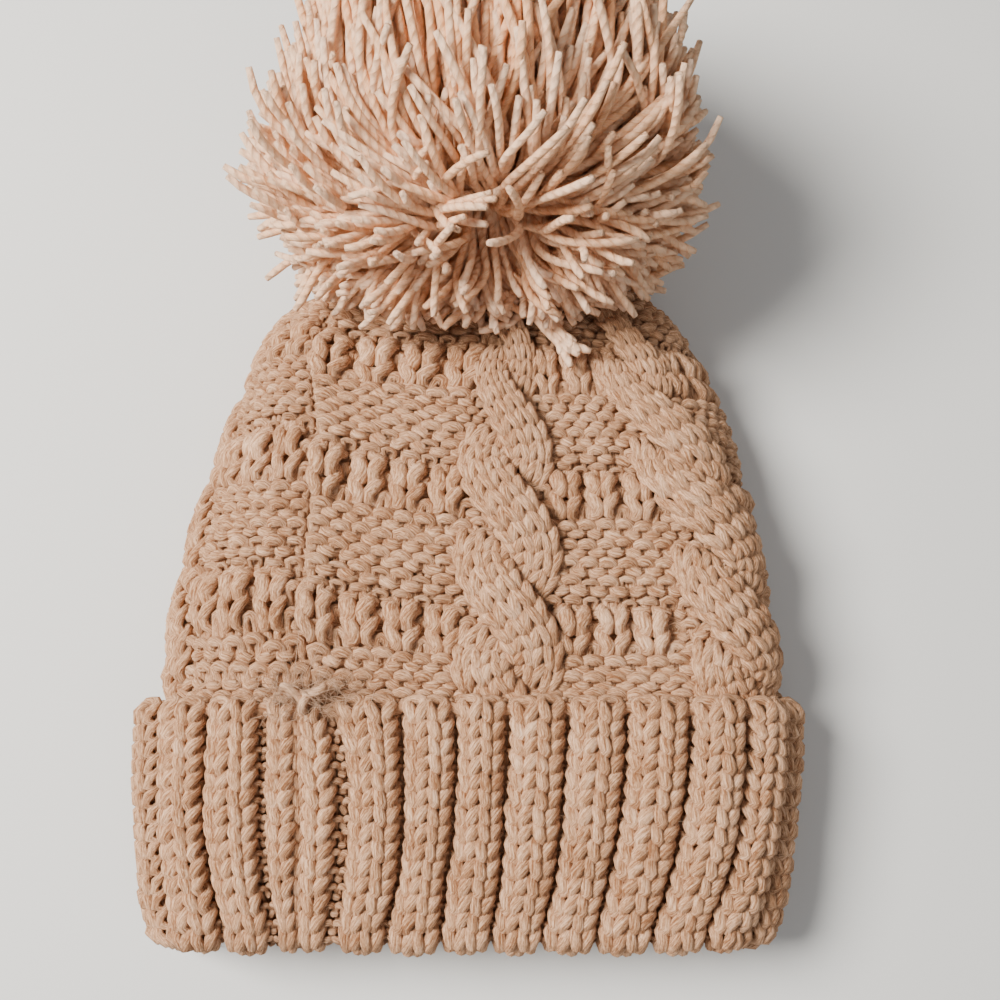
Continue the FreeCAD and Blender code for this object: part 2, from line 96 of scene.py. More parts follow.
# y, half width, middle x, base z, top z and lower edge radius of each outline.  The body's y at
# -52.4, -24.7, 3.9, 29.8 and 45.0 are a scratch program's numbers; the rest were set by hand.
CUFF_OUTLINES = np.array([
    [-161.3, 98.6, -1.5, 0.2, 40.0, 14.0],
    [-154.0, 101.0, -1.0, 0.0, 41.5, 14.0],
    [-141.0, 103.6, -0.8, 0.0, 43.5, 15.0],
    [-122.0, 106.4, -0.6, 0.0, 45.5, 15.0],
    [-104.0, 108.6, 0.0, 0.0, 46.6, 15.0],
    [-82.0, 110.2, 0.4, 0.0, 46.6, 15.0],
])
BODY_OUTLINES = np.array([
    [-100.0, 99.6, 3.0, 5.0, 39.5, 12.0],
    [-82.6, 101.0, 2.8, 4.6, 41.0, 12.0],
    [-52.4, 99.8, 3.2, 2.0, 42.6, 12.0],
    [-24.7, 95.4, 3.6, 1.0, 42.8, 12.0],
    [3.9, 89.0, 4.6, 0.6, 41.6, 12.0],
    [29.8, 80.6, 3.4, 0.6, 39.0, 12.0],
    [45.0, 72.6, 3.4, 0.8, 36.5, 12.0],
    [54.0, 62.0, 4.0, 2.5, 35.0, 12.0],
    [61.0, 46.0, 4.4, 6.0, 34.0, 11.0],
    [66.0, 26.0, 4.4, 11.0, 33.5, 9.5],
    [69.0, 11.0, 4.4, 14.0, 33.0, 8.5],
])
DOME = 2.2


def outline_sizes(outlines, y):
    return [smooth_curve(y, outlines[:, 0], outlines[:, k]) for k in range(1, 6)]


def half_girth(outlines, y):
    half, _, base, top, edge = outline_sizes(outlines, y)
    shoulder = top - base - edge
    return (half - shoulder) + shoulder * math.pi / 2 + edge * math.pi / 2 + (half - edge)


def on_tube(outlines, y, along, inset=0.0):
    """Where a length measured round the tube from the middle of its front comes to."""
    half, middle, base, top, edge = outline_sizes(outlines, y)
    side = np.where(along < 0, -1.0, 1.0)
    shoulder = top - base - edge
    reach = np.abs(along)
    girth = half_girth(outlines, y)
    wrapped = reach > girth
    side = np.where(wrapped, -side, side)
    reach = np.where(wrapped, 2 * girth - reach, reach)
    flat = half - shoulder
    a = np.clip(reach - flat, 0, shoulder * math.pi / 2) / shoulder
    b = np.clip(reach - flat - shoulder * math.pi / 2, 0, edge * math.pi / 2) / edge
    under = np.maximum(reach - flat - (shoulder + edge) * math.pi / 2, 0)
    on_side = b > 0
    x = np.where(on_side, (half - edge) + edge * np.cos(b) - under,
                 np.minimum(reach, flat) + shoulder * np.sin(a))
    z = np.where(on_side, base + edge - edge * np.sin(b), top - shoulder + shoulder * np.cos(a))
    nx = np.where(on_side, np.cos(b), np.sin(a))
    nz = np.where(on_side, -np.sin(b), np.cos(a))
    lift = DOME * (1 - (x / half) ** 2) * np.clip((z - base) / (top - base), 0, 1) ** 2
    point = vectors(middle + side * (x - inset * nx), y, z + lift - DOME * 0.5 - inset * nz)
    return point, vectors(side * nx, 0.0 * y, nz)


# ---- meshes ----

def unit(v):
    return v / np.maximum(np.linalg.norm(v, axis=-1, keepdims=True), 1e-9)


def cap_quads(ring, sides):
    """Quads that close an even-sided ring."""
    low = np.arange(sides // 2 - 1)
    corners = np.stack([low, low + 1, sides - 2 - low, sides - 1 - low], axis=-1)
    return ring[:, corners].reshape(-1, 4)


def frame_along(points, normals):
    tangent = unit(np.gradient(points, axis=1))
    across = unit(np.cross(tangent, normals))
    return across, np.cross(across, tangent)


def path_length(points):
    length = np.zeros(points.shape[:2])
    length[:, 1:] = np.cumsum(np.linalg.norm(np.diff(points, axis=1), axis=-1), axis=1)
    return length


def tubes(points, normals, radius, sides, squash=1.0, twist=0.0, tone=0.0):
    """Yarn along many paths at once: points is (paths, samples, 3)."""
    paths, samples, _ = points.shape
    across, outward = frame_along(points, normals)
    radius = np.array(np.broadcast_to(radius, (paths, samples)))
    radius[:, [0, -1]] *= 0.6
    length = path_length(points)
    angle = np.arange(sides) * TAU / sides
    ring = (points[:, :, None, :]
            + across[:, :, None, :] * (np.cos(angle)[None, None, :, None] * radius[:, :, None, None])
            + outward[:, :, None, :] * (np.sin(angle)[None, None, :, None]
                                        * radius[:, :, None, None] * squash))
    phase = angle[None, None, :] + twist * length[:, :, None]
    start = np.arange(paths)[:, None, None] * 7.31
    fibre = vectors(length[:, :, None] + start, np.cos(phase) * 2.0, np.sin(phase) * 2.0)
    tones = np.broadcast_to(np.broadcast_to(tone, (paths, samples))[:, :, None],
                            (paths, samples, sides))
    index = np.arange(paths * samples * sides).reshape(paths, samples, sides)
    nxt = np.roll(index, -1, axis=2)
    quads = np.stack([index[:, :-1], nxt[:, :-1], nxt[:, 1:], index[:, 1:]], axis=-1).reshape(-1, 4)
    quads = np.concatenate([quads, cap_quads(index[:, 0, ::-1], sides),
                            cap_quads(index[:, -1], sides)])
    return ring.reshape(-1, 3), quads, fibre.reshape(-1, 3), tones.reshape(-1)


def sheet_mesh(points):
    """A closed band: a grid of points (rows, columns, 3) joined round."""
    rows, columns, _ = points.shape
    index = np.arange(rows * columns).reshape(rows, columns)
    right = np.roll(index, -1, axis=1)
    quads = np.stack([index[:-1], right[:-1], right[1:], index[1:]], axis=-1).reshape(-1, 4)
    return points.reshape(-1, 3), quads, points.reshape(-1, 3), np.zeros(rows * columns)


def make_object(name, parts, material, body, slot_name, nodes=()):
    """Join mesh parts into one piece that rides on a body and stands for its CAD nodes."""
    offsets = np.cumsum([0] + [len(p[0]) for p in parts[:-1]])
    vertices = np.concatenate([p[0] for p in parts]) * MM
    quads = np.concatenate([p[1] + o for p, o in zip(parts, offsets)])
    fibre = np.concatenate([p[2] for p in parts])
    tone = np.concatenate([p[3] for p in parts])
    mesh = bpy.data.meshes.new(name)
    mesh.vertices.add(len(vertices))
    mesh.vertices.foreach_set("co", vertices.astype(np.float32).ravel())
    mesh.loops.add(quads.size)
    mesh.loops.foreach_set("vertex_index", quads.astype(np.int32).ravel())
    mesh.polygons.add(len(quads))
    mesh.polygons.foreach_set("loop_start", np.arange(0, quads.size, 4, dtype=np.int32))
    mesh.polygons.foreach_set("use_smooth", np.ones(len(quads), dtype=bool))
    attribute = mesh.attributes.new("fibre", "FLOAT_VECTOR", "POINT")
    attribute.data.foreach_set("vector", fibre.astype(np.float32).ravel())
    attribute = mesh.attributes.new("tone", "FLOAT", "POINT")
    attribute.data.foreach_set("value", tone.astype(np.float32))
    mesh.update(calc_edges=True)
    mesh.materials.append(material)
    piece = bpy.data.objects.new(name, mesh)
    bpy.context.scene.collection.objects.link(piece)
    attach(piece, body)
    if nodes:
        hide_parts(*nodes)
    return piece


# ---- knitting ----

LOWEST_YARN = 1.7
FLOOR_SOFTNESS = 1.4


def rest_on_floor(points):
    """Press yarn that would go through the floor flat against it."""
    z = (points[..., 2] - LOWEST_YARN) / FLOOR_SOFTNESS
    points[..., 2] = LOWEST_YARN + FLOOR_SOFTNESS * np.logaddexp(0, z)
    return points


KNIT, PURL = 1.0, -1.0
KNIT_HEIGHT = 0.80  # in rows, from a loop's middle to its head
PURL_HEIGHT = 0.88
PURL_WAIST = 0.24
PURL_FLATNESS = 0.13
LOOP_DEPTH = 1.45  # how far a leg or a head stands out
LOOP_LEAN = 1.75  # how far each loop dips under the next one
BURIED_SINKER = -1.2  # the yarn between two stitches, one of them knit, lies behind them
BUMP_SWING = 2.1  # where a knit stitch's top turns into a purl's head
BUMP_DEPTH = -0.7
THINNEST = 0.76  # the yarn's girth where it is hidden
SHOWN_GIRTH = 0.31  # and how much fuller it is where it shows
YARN_INSET = 2.6  # from the hat's outline to the middle of its yarn
YARN_SQUASH = 0.88
YARN_TWIST = 0.2  # radians a millimetre
KNIT_SLANT = 0.25  # how much of a sloping course's slope a knit stitch takes


def wobble(shape, size, seed):
    return np.random.default_rng(seed).normal(0.0, size, shape)


def loop_path(samples, own, above, waist, spread):
    """One stitch: how far across its column, up its row and out of the fabric the yarn is.

    A knit stitch shows its two legs, a purl stitch its head, and a knit stitch under a purl one
    both, because the next loop was drawn through to the back of it.
    """
    t = (np.arange(samples) + 0.5) / samples * TAU - math.pi
    side = np.sign(t) * spread * np.abs(np.sin(t)) * (1 + np.cos(t)) / 2
    knit_across = 0.5 + t / TAU + waist * np.sin(2 * t) + side
    purl_across = 0.5 + t / TAU + PURL_WAIST * np.sin(2 * t)
    purl_up = PURL_HEIGHT * (np.cos(t) - PURL_FLATNESS * np.cos(3 * t))
    purl_head = (own < 0) | ((above < 0) & (np.abs(t) < math.pi / 3))
    across = np.where(purl_head, purl_across, knit_across)
    up = np.where(purl_head, purl_up, KNIT_HEIGHT * np.cos(t))
    return t, across, up


def loop_relief(t, own, turn):
    """How far the yarn stands out, turn being the same for its head and sinker."""
    return (LOOP_DEPTH * (np.sin(t) ** 2 * own + np.cos(t) ** 2 * turn)
            - LOOP_LEAN * own * np.cos(t) * np.abs(np.sin(t)))


def blend_table(table, row, column):
    """A value between the entries of a table, at any row and column."""
    row = np.clip(row, 0, table.shape[0] - 1.001)
    column = np.clip(column, 0, table.shape[1] - 1.001)
    r, c = row.astype(int), column.astype(int)
    up, side = row - r, column - c
    return ((table[r, c] * (1 - side) + table[r, c + 1] * side) * (1 - up)
            + (table[r + 1, c] * (1 - side) + table[r + 1, c + 1] * side) * up)


def courses(kinds, borders, heights, place, first_row, yarn, shape, samples, sides, seed):
    """The yarn of several courses.

    kinds is (rows + 1, columns) of KNIT or PURL, the last row being the one above the piece.
    borders is (rows + 2, columns + 1), the columns' edges, and heights is (rows + 2, columns), how
    far each column stands out, both from the row below the piece to the row above it.
    place turns a column position and a row position into a point and a normal; its third value is
    the column position that says how high the course runs, so that knit stitches stay upright.
    yarn is the radius in a purl and in a knit stitch, and shape is the knit stitch's waist and
    spread.
    """
    rows, columns = kinds.shape[0] - 1, kinds.shape[1]
    own = kinds[:-1, :, None]
    above = kinds[1:, :, None]
    t, across, up = loop_path(samples, own, above, *shape)
    left = np.concatenate([kinds[:-1, :1], kinds[:-1, :-1]], axis=1)[:, :, None]
    right = np.concatenate([kinds[:-1, 1:], kinds[:-1, -1:]], axis=1)[:, :, None]
    beside = np.where(t < 0, left, right)
    sinker = np.where((own > 0) | (beside > 0), BURIED_SINKER, 1.0)
    head = np.where((own < 0) & (above < 0), 1.0, -1.0)
    turn = np.where(np.abs(t) < math.pi / 2, head, sinker)
    out = loop_relief(t, own, turn)
    bump = (own > 0) & (above < 0) & (np.abs(t) < math.pi / 2)
    out = np.where(bump, BUMP_SWING * np.cos(4 * t) + BUMP_DEPTH, out)
    out = out + wobble((rows, columns, 1), 0.18, seed + 2)
    level = np.arange(rows)[:, None, None] + up + wobble((rows, columns, 1), 0.06, seed)
    across = across + wobble((rows, columns, 1), 0.03, seed + 1)
    place_in_row = np.arange(columns)[None, :, None] + across
    u = blend_table(borders, level + 1, place_in_row)
    out = out + blend_table(heights, level + 1, place_in_row - 0.5)
    middle = blend_table(borders, level + 1, np.arange(columns)[None, :, None] + 0.5 + 0 * across)
    steady = np.where(own > 0, middle + (u - middle) * KNIT_SLANT, u)
    point, normal = place(u, level + first_row, steady)
    width = np.linalg.norm(point[:, :, -1] - point[:, :, 0], axis=-1)[:, :, None]
    point = rest_on_floor(point + normal * out[..., None])
    shown = np.where(own > 0, np.sin(t) ** 2, np.cos(t) ** 2)
    thick = np.where(bump & (np.abs(t) < math.pi / 3), yarn[0] * 0.95, yarn[1])
    full = np.where(own > 0, thick, yarn[0]) * (1 + wobble((rows, columns, 1), 0.05, seed + 3))
    girth = np.minimum(full, 0.34 * width + 0.35) * (THINNEST + SHOWN_GIRTH * shown)
    run = (rows, columns * samples)
    girth = girth.reshape(run)
    girth = (girth + np.roll(girth, 1, axis=1) + np.roll(girth, -1, axis=1)) / 3
    tone = np.broadcast_to(wobble((rows, columns, 1), 0.06, seed + 4), (rows, columns, samples))
    return tubes(point.reshape(run + (3,)), normal.reshape(run + (3,)), girth, sides,
                 squash=YARN_SQUASH, twist=YARN_TWIST, tone=tone.reshape(run))


def along_of_x(outlines, y, x):
    """Length round the tube, from the middle of its front, of a place seen from above."""
    half, middle, base, top, edge = outline_sizes(outlines, y)
    shoulder = top - base - edge
    flat = half - shoulder
    out = np.abs(x - middle)
    turn = np.arcsin(np.clip((out - flat) / shoulder, 0, 1))
    return np.sign(x - middle) * (np.minimum(out, flat) + shoulder * turn)


# ---- the body's panels ----

# Where the seam and the first cable's edges and the second's left edge run: x at each y.  The
# places were read off the photo.  13 of the 36 x are what a scratch program made of them in
# millimetres, and the others were moved by hand.
GUIDE_Y = np.array([-84.0, -56.0, -30.0, -3.0, 21.0, 35.0, 50.0, 62.0, 69.0])
SEAM_X = np.array([-46.5, -52.0, -51.0, -49.5, -52.0, -51.0, -43.0, -28.0, -4.0])
CABLE_1_LEFT = np.array([-3.9, -3.2, -3.2, -1.4, 2.5, 5.0, 4.0, 2.0, 3.4])
CABLE_1_RIGHT = np.array([30.2, 30.6, 29.7, 27.4, 23.6, 22.0, 20.0, 13.0, 6.0])
CABLE_2_LEFT = np.array([71.4, 67.7, 62.8, 51.0, 44.3, 42.0, 38.0, 26.0, 9.0])
CABLE_WIDTH = CABLE_1_RIGHT - CABLE_1_LEFT + 1.5
COLUMNS = 66.0
GUIDE_U = np.array([0.0, 6.5, 12.5, 18.5, 24.5, COLUMNS])
FINE_Y = np.linspace(-104.0, 70.0, 175)


def body_borders():
    """Length round the tube of each guide line, at many heights."""
    lines = [along_of_x(BODY_OUTLINES, FINE_Y, smooth_curve(FINE_Y, GUIDE_Y, line))
             for line in (SEAM_X, CABLE_1_LEFT, CABLE_1_RIGHT, CABLE_2_LEFT)]
    lines.append(lines[3] + smooth_curve(FINE_Y, GUIDE_Y, CABLE_WIDTH))
    lines.append(lines[0] + 2 * half_girth(BODY_OUTLINES, FINE_Y))
    return np.stack(lines, axis=1)


BODY_BORDERS = body_borders()


def body_along(u, y):
    """Length round the tube of a column position."""
    line = np.interp(u, GUIDE_U, np.arange(len(GUIDE_U)))
    row = (y - FINE_Y[0]) / (FINE_Y[1] - FINE_Y[0])
    return blend_table(BODY_BORDERS, row, line)


def wrap_round(outlines, y, along):
    girth = half_girth(outlines, y)
    return (along + girth) % (2 * girth) - girth


# Rows from the cuff up: reverse stocking stitch bands and short bands of rib between them.
BAND_ROWS = np.array([-3.0, 0.0, 3.0, 5.0, 10.0, 12.0, 17.0, 19.0, 24.0, 27.0])
RIB_BANDS = [(3, 5), (10, 12), (17, 19)]
TOP_ROW = 27
ROWS_BELOW = 3  # rows that start under the cuff
NARROWEST_COLUMN = 6.0
UNDER_CABLE = 0.95  # columns that run in under a cable: how wide, how many and how deep
UNDER_COLUMNS = 3
UNDER_DEPTH = -0.8
HIDDEN_DEPTH = 2.0  # a column that is crowded in under a cable lies this much deeper
KNIT_WIDENING = 0.33  # in a band of rib the knit columns spread over the purl ones
RIB_KNIT_OUT = 1.5
RIB_PURL_OUT = -4.4
SEAM_FIRST_OUT = 1.9  # the seam's first column stands over its last one
SEAM_LAST_OUT = -1.6
PANEL_YARN = (1.88, 2.75)
PANEL_LOOP = (0.205, 0.05)
BAND_U = np.array([0.0, 5.5, 12.0, 24.0, 45.0, 60.5, 66.0])
BAND_Y = np.array([
    [-100.0, -100.0, -100.0, -100.0, -100.0, -100.0, -100.0],
    [-84.0, -84.0, -84.0, -84.0, -84.0, -84.0, -84.0],
    [-62.0, -68.0, -68.5, -69.0, -66.0, -57.4, -57.0],
    [-46.5, -54.0, -54.2, -54.6, -52.0, -41.5, -41.0],
    [-16.0, -22.5, -23.8, -24.5, -21.0, -10.5, -10.0],
    [1.5, -8.0, -10.5, -11.0, -5.0, 7.5, 8.0],
    [24.0, 21.0, 19.0, 19.0, 24.0, 34.0, 34.0],
    [40.0, 37.0, 36.0, 36.0, 39.0, 47.0, 46.0],
    [60.0, 59.0, 58.0, 58.0, 59.0, 61.0, 61.0],
    [69.0, 69.0, 69.0, 69.0, 69.0, 69.0, 69.0],
])


def body_y(u, v):
    line = np.interp(u, BAND_U, np.arange(len(BAND_U)))
    return blend_table(BAND_Y, np.interp(v, BAND_ROWS, np.arange(len(BAND_ROWS))), line)


def place_body(u, v, steady):
    y = body_y(steady, v)
    return on_tube(BODY_OUTLINES, y, wrap_round(BODY_OUTLINES, y, body_along(u, y)), YARN_INSET)


def panel(start, end, columns, seed, samples, sides):
    """Courses of one panel, from under the cuff to the crown.

    Next to a cable the panel has some purl columns more, which run in under the cable.  At the seam
    its first column stands over its last one.
    """
    rows = TOP_ROW + ROWS_BELOW
    under_left, under_right = start > 1, end < COLUMNS - 1
    kinds = np.full((rows + 1, columns), PURL)
    edges = np.tile(np.arange(columns + 1.0), (rows + 2, 1))
    heights = np.zeros((rows + 2, columns))
    for low, high in RIB_BANDS:
        kinds[low + ROWS_BELOW:high + ROWS_BELOW, 0::2] = KNIT
        band = slice(low + ROWS_BELOW + 1, high + ROWS_BELOW + 1)
        edges[band, 0:-1:2] -= KNIT_WIDENING
        edges[band, 1::2] += KNIT_WIDENING
        heights[band, 0::2] = RIB_KNIT_OUT
        heights[band, 1::2] = RIB_PURL_OUT
    if not under_left:
        heights[:, 0] += SEAM_FIRST_OUT
    if not under_right:
        heights[:, -1] = SEAM_LAST_OUT
    crowding = np.ones(rows + 2)
    if under_right:
        row = np.arange(rows + 2) - ROWS_BELOW - 1.0
        y = body_y(np.full(rows + 2, (start + end) / 2), row)
        room = body_along(np.full_like(y, end), y) - body_along(np.full_like(y, start), y)
        crowding = np.clip(columns * NARROWEST_COLUMN / room, 1.0, 1.5)
    edges = start + edges / columns * (end - start) * crowding[:, None]
    if under_right:
        hidden = np.clip(((edges[:, 1:] + edges[:, :-1]) / 2 - end + 0.1) / 0.6, 0, 1)
        heights = heights - HIDDEN_DEPTH * hidden
    for under, side, reach in ((under_left, 0, -UNDER_CABLE),
                               (under_right, -1, UNDER_CABLE / crowding)):
        for _ in range(UNDER_COLUMNS if under else 0):
            column = 0 if side == 0 else kinds.shape[1]
            edge = 0 if side == 0 else edges.shape[1]
            kinds = np.insert(kinds, column, PURL, axis=1)
            heights = np.insert(heights, column, UNDER_DEPTH, axis=1)
            edges = np.insert(edges, edge, edges[:, side] + reach, axis=1)
    return courses(kinds, edges, heights, place_body, -ROWS_BELOW, PANEL_YARN, PANEL_LOOP,
                   samples, sides, seed)


# ---- cables ----

CROSSING = 33.0  # from one crossing to the next
WALES = 3
WALE_WIDTH = 5.7
WALE_CROWN = 2.0  # a ribbon's middle stands out over its edges
CABLE_COLUMNS = 6.0
CABLE_ROOM = 34.0  # the width that a cable takes; it shrinks where the panels leave less
CABLE_SWING = 8.4
CABLE_PITCH = 5.1
CABLE_LOW = -99.0
CABLE_HIGH = 62.0
CUFF_COVER = 5.0  # how far over the cuff's edge the cable starts to go in under it
CUFF_SLOPE = 9.0
CABLE_LOOP = (0.225, 0.08)
CABLE_YARN = 1.8


def cable(left_u, phase, rise, seed, samples, sides):
    """Two ribbons of three wales that cross over each other all the way up."""
    parts = []
    rows = int((CABLE_HIGH - CABLE_LOW) / CABLE_PITCH)
    t, loop, up = loop_path(samples, KNIT, KNIT, *CABLE_LOOP)
    for strand in (0, 1):
        turn = phase + strand * math.pi
        shape = (rows, WALES, 1)
        level = np.arange(rows)[:, None, None] + up + wobble(shape, 0.05, seed + strand)
        across = (loop + np.arange(WALES)[None, :, None] - WALES / 2
                  + wobble(shape, 0.03, seed + 2 + strand))
        y = CABLE_LOW + level * CABLE_PITCH
        theta = math.pi * y / CROSSING + turn
        slope = math.pi / CROSSING * np.cos(theta)
        left = body_along(np.full_like(y, left_u), y)
        right = body_along(np.full_like(y, left_u + CABLE_COLUMNS), y)
        scale = np.minimum((right - left) / CABLE_ROOM, 1.0)
        lean = np.arctan(slope * CABLE_SWING * scale)
        x = ((left + right) / 2 + np.sin(theta) * -CABLE_SWING * scale
             + across * WALE_WIDTH * scale * np.cos(lean))
        shifted = y + across * WALE_WIDTH * scale * np.sin(lean)
        tucked = np.clip((CUFF_TOP_Y + CUFF_COVER - shifted) / CUFF_SLOPE, 0, 1)
        crown = WALE_CROWN * (1 - (across / 1.6) ** 2)
        out = (rise / 2 + rise * np.cos(theta) + crown) * (1 - tucked)
        out = out + loop_relief(t, KNIT, -1.0)
        point, normal = on_tube(BODY_OUTLINES, shifted, wrap_round(BODY_OUTLINES, shifted, x),
                                YARN_INSET)
        point = rest_on_floor(point + normal * out[..., None])
        middle_y = CABLE_LOW + np.arange(rows) * CABLE_PITCH
        keep = np.cos(math.pi * middle_y / CROSSING + turn) > -0.6
        shape = (keep.sum(), WALES * samples)
        girth = CABLE_YARN * np.clip(scale[keep], 0.35, 1.05) * (0.78 + 0.32 * np.sin(t) ** 2)
        tone = np.repeat(wobble((keep.sum(), WALES), 0.06, seed + 6), samples, axis=1)
        parts.append(tubes(point[keep].reshape(shape + (3,)), normal[keep].reshape(shape + (3,)),
                           girth.reshape(shape), sides, squash=YARN_SQUASH, twist=YARN_TWIST,
                           tone=tone))
    return parts


# ---- the turned-up cuff ----

# The rib's gaps on the front, left to right: half width, then x from the fold to the top edge.
# Every x and y here is a scratch program's, made from places read off the photo by eye; the half
# widths were set by hand.  Hand-chosen widths and one formula would be the better way.
RIB_Y = np.array([-153.7, -139.8, -122.8, -105.3, -87.4])
RIB_GAPS = [
    (1.5, [-89.6, -92.4, -95.3, -96.3, -96.9]),
    (1.5, [-71.9, -76.1, -79.1, -79.4, -79.4]),
    (2.3, [-56.6, -59.6, -61.1, -61.5, -62.4]),
    (2.9, [-39.0, -37.5, -36.5, -37.7, -43.0]),
    (1.6, [-22.8, -19.8, -18.4, -18.8, -19.8]),
    (1.5, [-6.6, -5.3, -3.1, -2.3, -3.2]),
    (1.5, [8.6, 10.9, 12.1, 12.8, 13.5]),
    (1.5, [23.6, 27.3, 29.4, 30.9, 32.0]),
    (1.5, [40.0, 43.4, 47.0, 49.1, 50.5]),
    (1.5, [56.6, 61.6, 66.0, 68.4, 69.6]),
    (1.5, [72.8, 79.7, 84.7, 87.3, 88.7]),
]
BACK_RIBS = 16
BACK_GAP = 1.5
SEAM_RIB = 2
SEAM_SHARE = 0.68  # how much of the seam's rib is left of the column that goes in
CUFF_SEAM_X = [-48.1, -48.0, -47.5, -48.8, -50.1]  # computed, as RIB_GAPS; a scratch program's, as RIB_GAPS
RIB_OUT = 1.2
NARROW_GAP = (2.0, -4.2)  # a gap narrower than this goes in this much
WIDE_GAP_OUT = -3.0
RIB_PITCH = 5.06
FOLD_RADIUS = 4.4
FOLD_MIDDLE_Y = -154.5
QUARTER_FOLD = FOLD_RADIUS * math.pi / 2
CUFF_TOP = CUFF_TOP_Y - 5.0
OUTER_LENGTH = QUARTER_FOLD + CUFF_TOP - FOLD_MIDDLE_Y
CURL_RADIUS = 3.0
FOLD_FLATNESS = 0.5  # the ribs are lower at the fold, over this many rows
FOLD_ROWS = 2.5
CUFF_YARN = (1.6, 2.15)
CUFF_LOOP = (0.225, 0.06)
CURL_LENGTH = CURL_RADIUS * 2.3


def rib_columns():
    """Borders of every column at the guide heights, and each column's kind and height."""
    borders, kinds, heights = [], [], []
    centres = [along_of_x(CUFF_OUTLINES, RIB_Y, np.array(line)) for _, line in RIB_GAPS]
    halves = [half for half, _ in RIB_GAPS]
    girth = 2 * half_girth(CUFF_OUTLINES, RIB_Y)
    first, last = centres[0], centres[-1]
    for k in range(1, BACK_RIBS + 1):
        centres.append(last + (first + girth - last) * k / BACK_RIBS)
        halves.append(BACK_GAP)
    for k in range(len(centres) - 1):
        low = centres[k] + halves[k]
        high = centres[k + 1] - halves[k + 1]
        if k == SEAM_RIB:
            seam = along_of_x(CUFF_OUTLINES, RIB_Y, np.array(CUFF_SEAM_X))
            inner = [low, low + (seam - low) * SEAM_SHARE, seam]
            rib_heights = [RIB_OUT, SEAM_LAST_OUT, 1.0]
        else:
            inner = [low, (low + high) / 2]
            rib_heights = [RIB_OUT, RIB_OUT]
        gap, next_gap = [NARROW_GAP[1] if half < NARROW_GAP[0] else WIDE_GAP_OUT
                         for half in halves[k:k + 2]]
        borders += [centres[k]] + inner + [high]
        kinds += [PURL] + [KNIT] * len(inner) + [PURL]
        heights += [gap] + rib_heights + [next_gap]
    borders.append(centres[-1])
    return np.stack(borders, axis=1), np.array(kinds), np.array(heights)


RIB_BORDERS, RIB_KINDS, RIB_HEIGHTS = rib_columns()
RIB_FINE_Y = np.linspace(-154.0, -86.0, 69)
RIB_TABLE = np.stack([smooth_curve(RIB_FINE_Y, RIB_Y, RIB_BORDERS[:, k])
                      for k in range(RIB_BORDERS.shape[1])], axis=1)


def cuff_profile(w):
    """The cuff's section, by length from the bottom of its fold: y, inset and lean."""
    turn = np.clip((QUARTER_FOLD - w) / FOLD_RADIUS, 0, math.pi)
    y = FOLD_MIDDLE_Y - FOLD_RADIUS * np.sin(turn) + np.maximum(np.abs(w) - QUARTER_FOLD, 0)
    inset = FOLD_RADIUS * (1 - np.cos(turn))
    curl = np.clip((w - OUTER_LENGTH) / CURL_RADIUS, 0, None)
    y = np.where(curl > 0, CUFF_TOP + CURL_RADIUS * np.sin(curl), y)
    inset = np.where(curl > 0, CURL_RADIUS * (1 - np.cos(curl)), inset)
    return y, inset + YARN_INSET, np.where(curl > 0, -curl, turn)


def place_cuff(u, v, _):
    y, inset, turn = cuff_profile(v * RIB_PITCH)
    row = np.clip(y - RIB_FINE_Y[0], 0, len(RIB_FINE_Y) - 1)
    along = blend_table(RIB_TABLE, row, u)
    point, normal = on_tube(CUFF_OUTLINES, y, wrap_round(CUFF_OUTLINES, y, along), inset)
    lean = vectors(0.0 * y, -np.sin(turn), 0.0 * y)
    return point, normal * np.cos(turn)[..., None] + lean


def cuff_courses(first_column, last_column, first_row, last_row, samples, sides, seed):
    kinds = np.tile(RIB_KINDS[first_column:last_column], (last_row - first_row + 1, 1))
    edges = np.tile(np.arange(first_column, last_column + 1.0), (len(kinds) + 1, 1))
    from_fold = np.arange(len(kinds) + 1) + first_row - 1.0
    depth = 1 - FOLD_FLATNESS * np.exp(-(from_fold / FOLD_ROWS) ** 2)
    heights = RIB_HEIGHTS[first_column:last_column][None, :] * depth[:, None]
    return courses(kinds, edges, heights, place_cuff, first_row, CUFF_YARN, CUFF_LOOP,
                   samples, sides, seed)


# ---- materials ----

# Painted shade: the yarn's colour is darker in the grooves between its plies and a little lighter on
# their crests.
PLY_GROOVE_PAINTED_SHADE = (0.04, 0.05)
PLY_RELIEF = 0.0003


